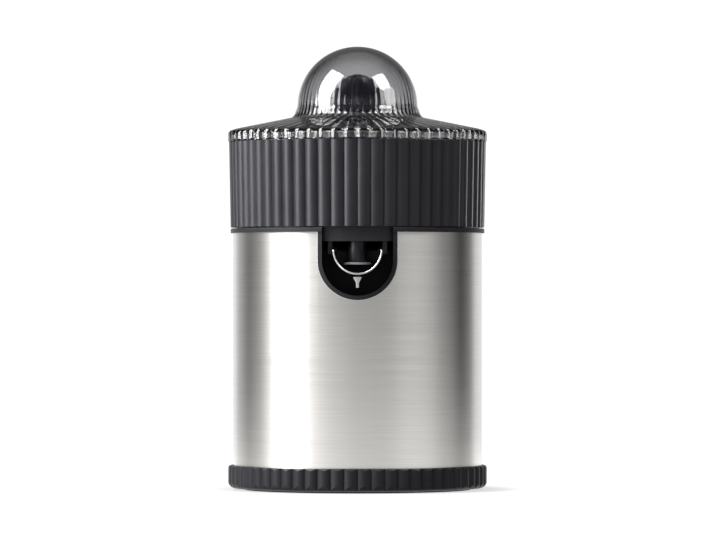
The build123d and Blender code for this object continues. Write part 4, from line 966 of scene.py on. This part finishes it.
@dataclass
class Reamer:
    """Reamer: a rounded core with eight upright ribs."""

    bottom: float = 206.0
    height: float = 51.0
    radius: float = 29.5
    ribs: int = 8
    rib_half: float = 1.5
    rib_flat: float = 0.2
    rib_power: float = 1.4
    core_radius_share: float = 0.74
    core_height_share: float = 0.965
    cavity_top: float = 222.0
    cavity_wall: float = 2.0
    hub_radius: float = 7.5
    hub_flare: float = 2.0
    hub_bottom: float = 208.5
    bore_radius: float = 4.2
    bore_top: float = 231.3
    outline_points: int = 60
    outline_passes: int = 6
    skin_reach: float = 0.02
    columns: int = 480
    smooth_below: float = 50
    shares: Sequence[Point] = (
        (0, 1), (0.09, 0.992), (0.18, 0.976), (0.27, 0.955), (0.36, 0.915), (0.43, 0.81),
        (0.455, 0.70), (0.48, 0.60), (0.515, 0.49), (0.56, 0.38), (0.63, 0.27), (0.73, 0.17),
        (0.86, 0.08), (1, 0),
    )

    def outline(self, radius_share: float, height_share: float) -> np.ndarray:
        """Outline from apex to base, with even steps and rounded corners.

        Args:
            radius_share: Share of the reamer's radius.
            height_share: Share of its height.

        Returns:
            Radius and height of each point, in millimetres.
        """
        points = np.array(self.shares) * (self.radius * radius_share, self.height * height_share)
        points[:, 1] += self.bottom
        step = np.concatenate([[0], np.cumsum(np.hypot(*np.diff(points, axis=0).T))])
        fine = np.linspace(0, step[-1], self.outline_points)
        rounded = np.stack([np.interp(fine, step, points[:, axis]) for axis in (0, 1)], axis=1)
        for _ in range(self.outline_passes):
            rounded[1:-1] = (rounded[:-2] + 2 * rounded[1:-1] + rounded[2:]) / 4
        return rounded

    def rib(self, places: np.ndarray) -> np.ndarray:
        """Draws the turned skin in between the ribs.

        Args:
            places: Places of the vertices, in millimetres.

        Returns:
            The places with the skin drawn in.
        """
        outer = self.outline(1, 1)
        core = self.outline(self.core_radius_share, self.core_height_share)
        radius = np.hypot(places[:, 0], places[:, 1])
        angle = np.arctan2(places[:, 1], places[:, 0])
        up = places[:, 2]
        skin = np.interp(up, outer[::-1, 1], outer[::-1, 0])
        above = up > self.bottom + self.skin_reach / 2
        on_skin = (np.abs(radius - skin) < self.skin_reach) & above
        deep = np.interp(up, core[::-1, 1], core[::-1, 0], right=0.0)
        pitch = math.tau / self.ribs
        off = np.abs(np.mod(angle + pitch / 2, pitch) - pitch / 2)
        aside = np.maximum(radius * np.sin(off) - self.rib_half * self.rib_flat, 0) / self.rib_half
        ridge = np.exp(-aside ** self.rib_power)
        shaped = np.where(on_skin, deep + (skin - deep) * ridge, radius)
        moved = places.copy()
        moved[:, 0] = shaped * np.cos(angle)
        moved[:, 1] = shaped * np.sin(angle)
        return moved

    def build(self) -> Piece:
        """Turns the reamer, raises its ribs and dresses it.

        Returns:
            The reamer.
        """
        profile = [tuple(point) for point in self.outline(1, 1)]
        profile += [
            (self.radius * self.core_radius_share - self.cavity_wall, self.bottom),
            (self.hub_radius + self.hub_flare, self.cavity_top),
            (self.hub_radius, self.cavity_top),
            (self.hub_radius, self.hub_bottom),
            (self.bore_radius, self.hub_bottom),
            (self.bore_radius, self.bore_top),
            (0.0, self.bore_top),
        ]
        piece = Bench.lathe("ribbed_reamer", profile, self.columns)
        Bench.reshape(piece, self.rib)
        Bench.smooth(piece, self.smooth_below)
        Bench.settle(piece, Body.REAMER, Slot.REAMER, REAMER_PLASTIC, ("reamer",))
        return piece


@dataclass
class Spout:
    """Steel spout: a half-round trough with pivot lugs and a drip nib, painted near-black behind its
    front lip as shade.
    """

    pivot: Point = (-64.5, 147.3)
    outer: float = 15.0
    wall: float = 1.0
    rear: float = -51.5
    lip: float = -92.0
    trough_sides: int = 128
    trough_round: float = 0.42
    lug_radius: float = 4.0
    lug_bore: float = 1.7
    lug_chamfer: float = 0.25
    lug_sides: int = 64
    nib_top: float = 130.9
    nib_bottom: float = 124.5
    funnel_bottom: float = 127.3
    nib_half: float = 2.65
    stem_half: float = 0.85
    nib_depth: float = 1.2
    nib_round: float = 0.25
    web_depth: float = 1.8
    web_round: float = 0.2
    lip_depth: float = 1.15
    smooth_below: float = 40

    def trough(self) -> Piece:
        """Rolls the trough from a closed tube, cut open along its top and front.

        Returns:
            The trough.
        """
        bpy.ops.object.select_all(action="DESELECT")
        bpy.ops.mesh.primitive_cylinder_add(
            vertices=self.trough_sides,
            radius=self.outer * MM,
            depth=(self.rear - self.lip) * MM,
            end_fill_type="NGON",
            location=(0, (self.rear + self.lip) / 2 * MM, self.pivot[1] * MM),
            rotation=(math.pi / 2, 0, 0),
        )
        piece = bpy.context.object
        piece.name = "tilting_spout"
        piece.data.name = "tilting_spout"
        bpy.ops.object.transform_apply(location=True, rotation=True, scale=True)
        bpy.ops.object.mode_set(mode="EDIT")
        bpy.ops.mesh.select_all(action="SELECT")
        bpy.ops.mesh.bisect(
            plane_co=(0, 0, self.pivot[1] * MM), plane_no=(0, 0, 1), clear_outer=True
        )
        bpy.ops.mesh.select_all(action="DESELECT")
        bpy.ops.object.mode_set(mode="OBJECT")
        for face in piece.data.polygons:
            face.select = face.normal.y < FRONT_FACING
        bpy.ops.object.mode_set(mode="EDIT")
        bpy.ops.mesh.select_mode(type="FACE")
        bpy.ops.mesh.delete(type="ONLY_FACE")
        Bench.close()
        shell = piece.modifiers.new("wall", "SOLIDIFY")
        shell.thickness = self.wall * MM
        shell.offset = -1.0
        shell.use_even_offset = True
        Bench.pick(piece)
        bpy.ops.object.modifier_apply(modifier="wall")
        Bench.bevel(piece, self.trough_round, 4)
        return piece

    def lug(self, side: int) -> Piece:
        """Turns one pivot lug and sets it on the trough.

        Args:
            side: 1 for the right of the trough, -1 for its left.

        Returns:
            The lug.
        """
        half = self.wall / 2
        shoulder = self.lug_radius - self.lug_chamfer
        ring = [
            (self.lug_bore, -half),
            (shoulder, -half),
            (self.lug_radius, self.lug_chamfer - half),
            (self.lug_radius, half - self.lug_chamfer),
            (shoulder, half),
            (self.lug_bore, half),
            (self.lug_bore, -half),
        ]
        piece = Bench.lathe("spout_lug", ring, self.lug_sides)
        Bench.pick(piece)
        piece.rotation_euler = (0, math.pi / 2, 0)
        piece.location = Vector((side * (self.outer - half), *self.pivot)) * MM
        bpy.ops.object.transform_apply(location=True, rotation=True, scale=True)
        return piece

    def nib(self) -> list[Piece]:
        """Cuts the drip nib and the web that carries it.

        Returns:
            The nib and the web.
        """
        outline = [
            (-self.nib_half, self.nib_top),
            (self.nib_half, self.nib_top),
            (self.stem_half, self.funnel_bottom),
            (self.stem_half, self.nib_bottom),
            (-self.stem_half, self.nib_bottom),
            (-self.stem_half, self.funnel_bottom),
        ]
        drip = Bench.prism("spout_nib", outline, self.lip, self.nib_depth)
        Bench.bevel(drip, self.nib_round, 3)
        top = self.pivot[1] - self.outer + self.wall / 2
        web_outline = [
            (-self.stem_half, top),
            (self.stem_half, top),
            (self.stem_half, self.funnel_bottom),
            (-self.stem_half, self.funnel_bottom),
        ]
        web = Bench.prism("spout_web", web_outline, self.lip + self.nib_depth, self.web_depth)
        Bench.bevel(web, self.web_round, 2)
        return [drip, web]

    def build(self) -> Piece:
        """Rolls the spout, joins its lugs and nib, dresses it and paints shade behind its front lip.

        Returns:
            The spout.
        """
        piece = self.trough()
        Bench.join(piece, [self.lug(1), self.lug(-1), *self.nib()])
        Bench.smooth(piece, self.smooth_below)
        Bench.settle(piece, Body.SPOUT, Slot.SPOUT_STEEL, SPOUT_STEEL, ("spout",))
        # Painted shade: every face behind the front lip takes a near-black plastic, for the shade in the
        # notch.
        piece.data.materials.append(SPOUT_SHADE_BLACK.material())
        edge = (self.lip + self.lip_depth) * MM
        for face in piece.data.polygons:
            face.material_index = int(face.center.y > edge)
        return piece


@dataclass
class NotchEdge:
    """Bright cut edge of the steel round the notch."""

    radius: float = 76.86
    half_width: float = 24.2
    centre: float = 141.2
    top: float = 158.2
    bead: float = 0.30
    side_steps: int = 4
    round_steps: int = 48

    def path(self) -> list[Vector]:
        """Points down one side of the notch, round its bottom and up the other side.

        Returns:
            The points, on the steel's round face.
        """
        flat = [(-self.half_width, self.top)]
        flat += run(flat[0], (-self.half_width, self.centre), self.side_steps)
        flat += arc((0.0, self.centre), self.half_width, 180, 360, self.round_steps)[1:]
        flat += run((self.half_width, self.centre), (self.half_width, self.top), self.side_steps)
        return [
            Vector((across, -math.sqrt(self.radius ** 2 - across ** 2), up)) * MM
            for across, up in flat
        ]

    def build(self) -> Piece:
        """Draws the edge's line, rounds it into a bead and dresses it.

        Returns:
            The edge bead.
        """
        piece = Bench.wire("notch_edge", self.path(), self.bead)
        Bench.settle(piece, Body.HOUSING, Slot.BODY_STEEL, SPOUT_STEEL, ())
        return piece


@dataclass
class ReturnSpring:
    """Coil spring that lifts the drive shaft, and shortens when it is pressed."""

    radius: float = 9.4
    wire_radius: float = 0.6
    seat: float = 122.0
    first: float = 122.62
    rise: float = 12.76
    turns: int = 5
    turn_steps: int = 32
    length: float = 14.0
    press: float = 2.5

    def path(self) -> list[Vector]:
        """Points along the coil from its foot to its top.

        Returns:
            The points.
        """
        steps = self.turns * self.turn_steps
        angles = [math.tau * step / self.turn_steps for step in range(steps + 1)]
        return [
            Vector((
                self.radius * math.cos(angle),
                self.radius * math.sin(angle),
                self.first + self.rise * step / steps,
            )) * MM
            for step, angle in enumerate(angles)
        ]

    def build(self) -> Piece:
        """Winds the spring, dresses it and gives it a mesh of its own.

        Returns:
            The spring.
        """
        piece = Bench.wire("coil_spring", self.path(), self.wire_radius)
        Bench.settle(piece, Body.HOUSING, Slot.BRIGHT_STEEL, BRIGHT_STEEL, ("return_spring",))
        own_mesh(piece)
        return piece


@dataclass(frozen=True)
class Softbox:
    """A softbox that faces the juicer.

    Its bearing is in degrees to the right of the camera's side and its rise in degrees above the
    level. Its size is in metres, and its glow is the radiance of its face.
    """

    name: str
    bearing: float
    rise: float
    size: Point
    glow: float

    def hang(self, reach: float, aim: Vector) -> Piece:
        """Hangs the softbox, hidden from the camera.

        Args:
            reach: Distance from the place that it faces, in metres.
            aim: Place that it faces.

        Returns:
            The lamp.
        """
        around = math.radians(self.bearing)
        up = math.radians(self.rise)
        level = math.cos(up)
        way = Vector((math.sin(around) * level, -math.cos(around) * level, math.sin(up)))
        light = bpy.data.lights.new(self.name, "AREA")
        light.shape = "RECTANGLE"
        light.size, light.size_y = self.size
        light.energy = self.glow * self.size[0] * self.size[1] * math.pi
        lamp = bpy.data.objects.new(self.name, light)
        bpy.context.scene.collection.objects.link(lamp)
        lamp.location = aim + way * reach
        lamp.rotation_euler = (-way).to_track_quat("-Z", "Y").to_euler()
        lamp.visible_camera = False
        return lamp


ROOM_LAMPS = (
    Softbox("left softbox", -69, 36, (0.84, 1.36), 20.0),
    Softbox("right softbox", 62, 44, (0.60, 0.66), 9.0),
)
LID_LAMPS = (
    Softbox("low left softbox", -68, 6, (0.84, 0.45), 15.0),
    Softbox("low right softbox", 66, 17, (0.60, 0.84), 6.5),
    Softbox("lid softbox", 61, 45, (0.62, 0.64), 8.0),
)
BOWL_LAMPS = (
    Softbox("bowl softbox", -68, 6, (0.70, 0.45), 6.0),
    Softbox("rear strip", 140, 6, (0.30, 0.70), 3.2),
)


class Sky(Nodes):
    """Wires the studio's sky, whose light on the juicer differs from what the camera sees."""

    def __init__(self) -> None:
        """Starts an empty sky and hangs it in the scene."""
        world = bpy.data.worlds.new("studio sky")
        bpy.context.scene.world = world
        world.use_nodes = True
        super().__init__(world.node_tree)
        self.tree.nodes.clear()
        self.parts = self.add("ShaderNodeSeparateXYZ")
        self.wire(self.add("ShaderNodeTexCoord").outputs["Generated"], self.parts.inputs[0])

    def ring(self, sides: Sequence[Point]) -> Socket:
        """Colours the sky by its bearing from the camera's side.

        Args:
            sides: Bearing in degrees and level of each place on the ring.

        Returns:
            The colour.
        """
        back = self.add("ShaderNodeMath", operation="MULTIPLY")
        back.inputs[1].default_value = -1.0
        self.wire(self.parts.outputs["Y"], back.inputs[0])
        bearing = self.add("ShaderNodeMath", operation="ARCTAN2")
        self.wire(self.parts.outputs["X"], bearing.inputs[0])
        self.wire(back.outputs[0], bearing.inputs[1])
        turn = self.levels(bearing.outputs[0], 0.0, 1.0, (-math.pi, math.pi))
        ramp = self.add("ShaderNodeValToRGB")
        ramp.color_ramp.interpolation = "EASE"
        while len(ramp.color_ramp.elements) < len(sides):
            ramp.color_ramp.elements.new(0.5)
        for element, (degrees, level) in zip(ramp.color_ramp.elements, sides):
            element.position = (degrees + 180) / 360
            element.color = (level, level, level * SKY_TINT, 1)
        self.wire(turn, ramp.inputs["Fac"])
        return ramp.outputs["Color"]

    def climb(self, ends: Point, low: float, high: float) -> Socket:
        """Maps the height of the view's direction, between two heights, to a soft step."""
        return self.levels(self.parts.outputs["Z"], low, high, ends, Ease.SOFT)

    def capped(self, colour: Socket, level: float, share: Socket) -> Socket:
        """Mixes a colour with the grey of the sky's top.

        Args:
            colour: Colour of the sky's sides.
            level: Level of the grey.
            share: Share of the grey.

        Returns:
            The mixed colour.
        """
        node = self.add("ShaderNodeMix", data_type="RGBA")
        inputs = {socket.identifier: socket for socket in node.inputs}
        inputs["B_Color"].default_value = (level, level, level, 1)
        self.wire(share, inputs["Factor_Float"])
        self.wire(colour, inputs["A_Color"])
        return {socket.identifier: socket for socket in node.outputs}["Result_Color"]

    def show(self, colour: Socket, gain: float, backdrop: float) -> None:
        """Lights the juicer with a colour and shows the camera a white backdrop.

        Args:
            colour: Colour of the light.
            gain: Strength of the light.
            backdrop: Strength of the white backdrop.
        """
        glow = self.add("ShaderNodeBackground")
        glow.inputs["Strength"].default_value = gain
        self.wire(colour, glow.inputs["Color"])
        white = self.add("ShaderNodeBackground")
        white.inputs["Color"].default_value = (1, 1, 1, 1)
        white.inputs["Strength"].default_value = backdrop
        choice = self.add("ShaderNodeMixShader")
        self.wire(self.add("ShaderNodeLightPath").outputs["Is Camera Ray"], choice.inputs["Fac"])
        self.wire(glow.outputs[0], choice.inputs[1])
        self.wire(white.outputs[0], choice.inputs[2])
        output = self.add("ShaderNodeOutputWorld")
        self.wire(choice.outputs[0], output.inputs["Surface"])


@dataclass
class Studio:
    """White studio: floor, sky, softboxes and the camera of the view from the front."""

    reach: float = 1.5
    lamp_aim: float = 0.15
    distance: float = 3.2
    height: float = 0.1195
    aim: float = 0.1356
    sideways: float = 0.0003
    lens: float = 260.0
    sensor: float = 36.0
    far: float = 200.0
    sky_gain: float = 2.4
    backdrop: float = 1.05
    sides: Sequence[Point] = (
        (-180, 0.46), (-158, 0.46), (-140, 0.24), (-120, 0.08), (-104, 0.15), (-88, 0.40), (-76, 0.50),
        (-54, 0.36), (-36, 0.31), (-18, 0.26), (0, 0.20), (25, 0.18), (45, 0.21), (70, 0.23), (90, 0.12),
        (112, 0.015), (126, 0.09), (143, 0.40), (160, 0.42), (180, 0.46),
    )
    upper_ends: Point = (0.06, 0.36)
    upper_share: float = 0.22
    top_ends: Point = (0.70, 0.97)
    top: float = 0.26
    card_width: float = 0.80
    card_shift: float = 0.08
    card_lift: float = 0.0004
    card_glow: float = 1.08
    floor_size: float = 60.0
    floor_tones: Point = (0.115, 0.125)
    floor_glows: Point = (0.66, 1.08)
    painted_shade_radius: Point = (0.078, 0.118)

    def floor(self) -> None:
        """Lays the pale floor, with a painted shade round the base: its glow is dimmer near the base."""
        bpy.ops.object.select_all(action="DESELECT")
        bpy.ops.mesh.primitive_plane_add(size=self.floor_size, location=(0, 0, 0))
        floor = bpy.context.object
        floor.name = "studio_floor"
        graph = Graph("pale floor")
        cloud = graph.noise(graph.place, 3.0, 2.0)
        dark, light = ((tone, tone, tone) for tone in self.floor_tones)
        graph.feed(graph.blend(cloud, dark, light), "Base Color")
        graph.put(Roughness=1.0, Specular_IOR_Level=0.0, Emission_Color=(1, 1, 1, 1))
        # Painted shade: the floor's glow rises from the base outwards, as a soft shadow round it.
        away = graph.length(graph.place)
        glow = graph.levels(away, *self.floor_glows, self.painted_shade_radius, Ease.SOFT)
        graph.feed(glow, "Emission Strength")
        floor.data.materials.append(graph.material)
        floor.visible_glossy = False
        floor.visible_diffuse = False

    def sky(self) -> None:
        """Hangs a soft sky that is brighter on the left, behind and above."""
        sky = Sky()
        sides = sky.scaled(sky.ring(self.sides), sky.climb(self.upper_ends, 1.0, self.upper_share))
        light = sky.capped(sides, self.top, sky.climb(self.top_ends, 0.0, 1.0))
        sky.show(light, self.sky_gain, self.backdrop)

    @staticmethod
    def limit(lamp: Piece, lit: Piece) -> None:
        """Lets a lamp light one piece alone.

        Args:
            lamp: Lamp to limit.
            lit: Piece that it lights.
        """
        group = bpy.data.collections.new(lamp.name + " lights")
        group.objects.link(lit)
        lamp.light_linking.receiver_collection = group

    def floor_card(self) -> Piece:
        """Lays a round glowing card under the juicer, which lights as a white floor does.

        Returns:
            The card's lamp.
        """
        light = bpy.data.lights.new("floor card", "AREA")
        light.shape = "DISK"
        light.size = self.card_width
        light.energy = self.card_glow * math.pi * self.card_width ** 2 / 4 * math.pi
        lamp = bpy.data.objects.new("floor card", light)
        bpy.context.scene.collection.objects.link(lamp)
        lamp.location = (0, -self.card_shift, self.card_lift)
        lamp.rotation_euler = (math.pi, 0, 0)
        lamp.visible_camera = False
        return lamp

    def lamps(self, lid: Piece, bowl: Piece, sleeve: Piece) -> None:
        """Hangs the lamps.

        Args:
            lid: Clear lid, which lamps of its own make sparkle.
            bowl: Fluted collector, whose edges catch a strip light.
            sleeve: Steel sleeve, which alone mirrors the floor card.
        """
        aim = Vector((0, 0, self.lamp_aim))
        for box in ROOM_LAMPS:
            box.hang(self.reach, aim)
        self.limit(self.floor_card(), sleeve)
        for boxes, lit in ((LID_LAMPS, lid), (BOWL_LAMPS, bowl)):
            for box in boxes:
                self.limit(box.hang(self.reach, aim), lit)

    def camera(self) -> None:
        """Sets the camera level with the body, a long way in front."""
        data = bpy.data.cameras.new("front view")
        data.lens = self.lens
        data.sensor_width = self.sensor
        data.clip_end = self.far
        camera = bpy.data.objects.new("front view", data)
        bpy.context.scene.collection.objects.link(camera)
        camera.location = (self.sideways, -self.distance, self.height)
        sight = Vector((self.sideways, 0, self.aim)) - camera.location
        camera.rotation_euler = sight.to_track_quat("-Z", "Y").to_euler()
        bpy.context.scene.camera = camera

    def build(self, lid: Piece, bowl: Piece, sleeve: Piece) -> None:
        """Sets up floor, light and camera.

        Args:
            lid: Clear lid.
            bowl: Fluted collector.
            sleeve: Steel sleeve.
        """
        self.floor()
        self.sky()
        self.lamps(lid, bowl, sleeve)
        self.camera()
        view = bpy.context.scene.view_settings
        view.view_transform = "Standard"
        view.look = "None"


def dress_frame(nodes: dict[str, Piece]) -> None:
    """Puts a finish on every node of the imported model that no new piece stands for.

    Args:
        nodes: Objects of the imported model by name.
    """
    finishes = {name: finish for finish, names in CAD_FINISHES.items() for name in names}
    for name, finish in sorted(finishes.items()):
        finish.dress(nodes[name])
        LOG.info("%s: %s", name, finish.name)


def main() -> None:
    """Builds and dresses the juicer, then sets up the studio."""
    logging.basicConfig(level=logging.INFO, format="%(name)s %(message)s")
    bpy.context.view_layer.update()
    nodes = frame["nodes"]
    dress_frame(nodes)
    kinds = (Lid, Reamer, Spout, NotchEdge, ReturnSpring)
    built = {piece.name: piece for piece in (kind().build() for kind in kinds)}
    Studio().build(built["clear_lid"], nodes["collector_bowl"], nodes["sleeve"])


if __name__ == "__main__":
    main()
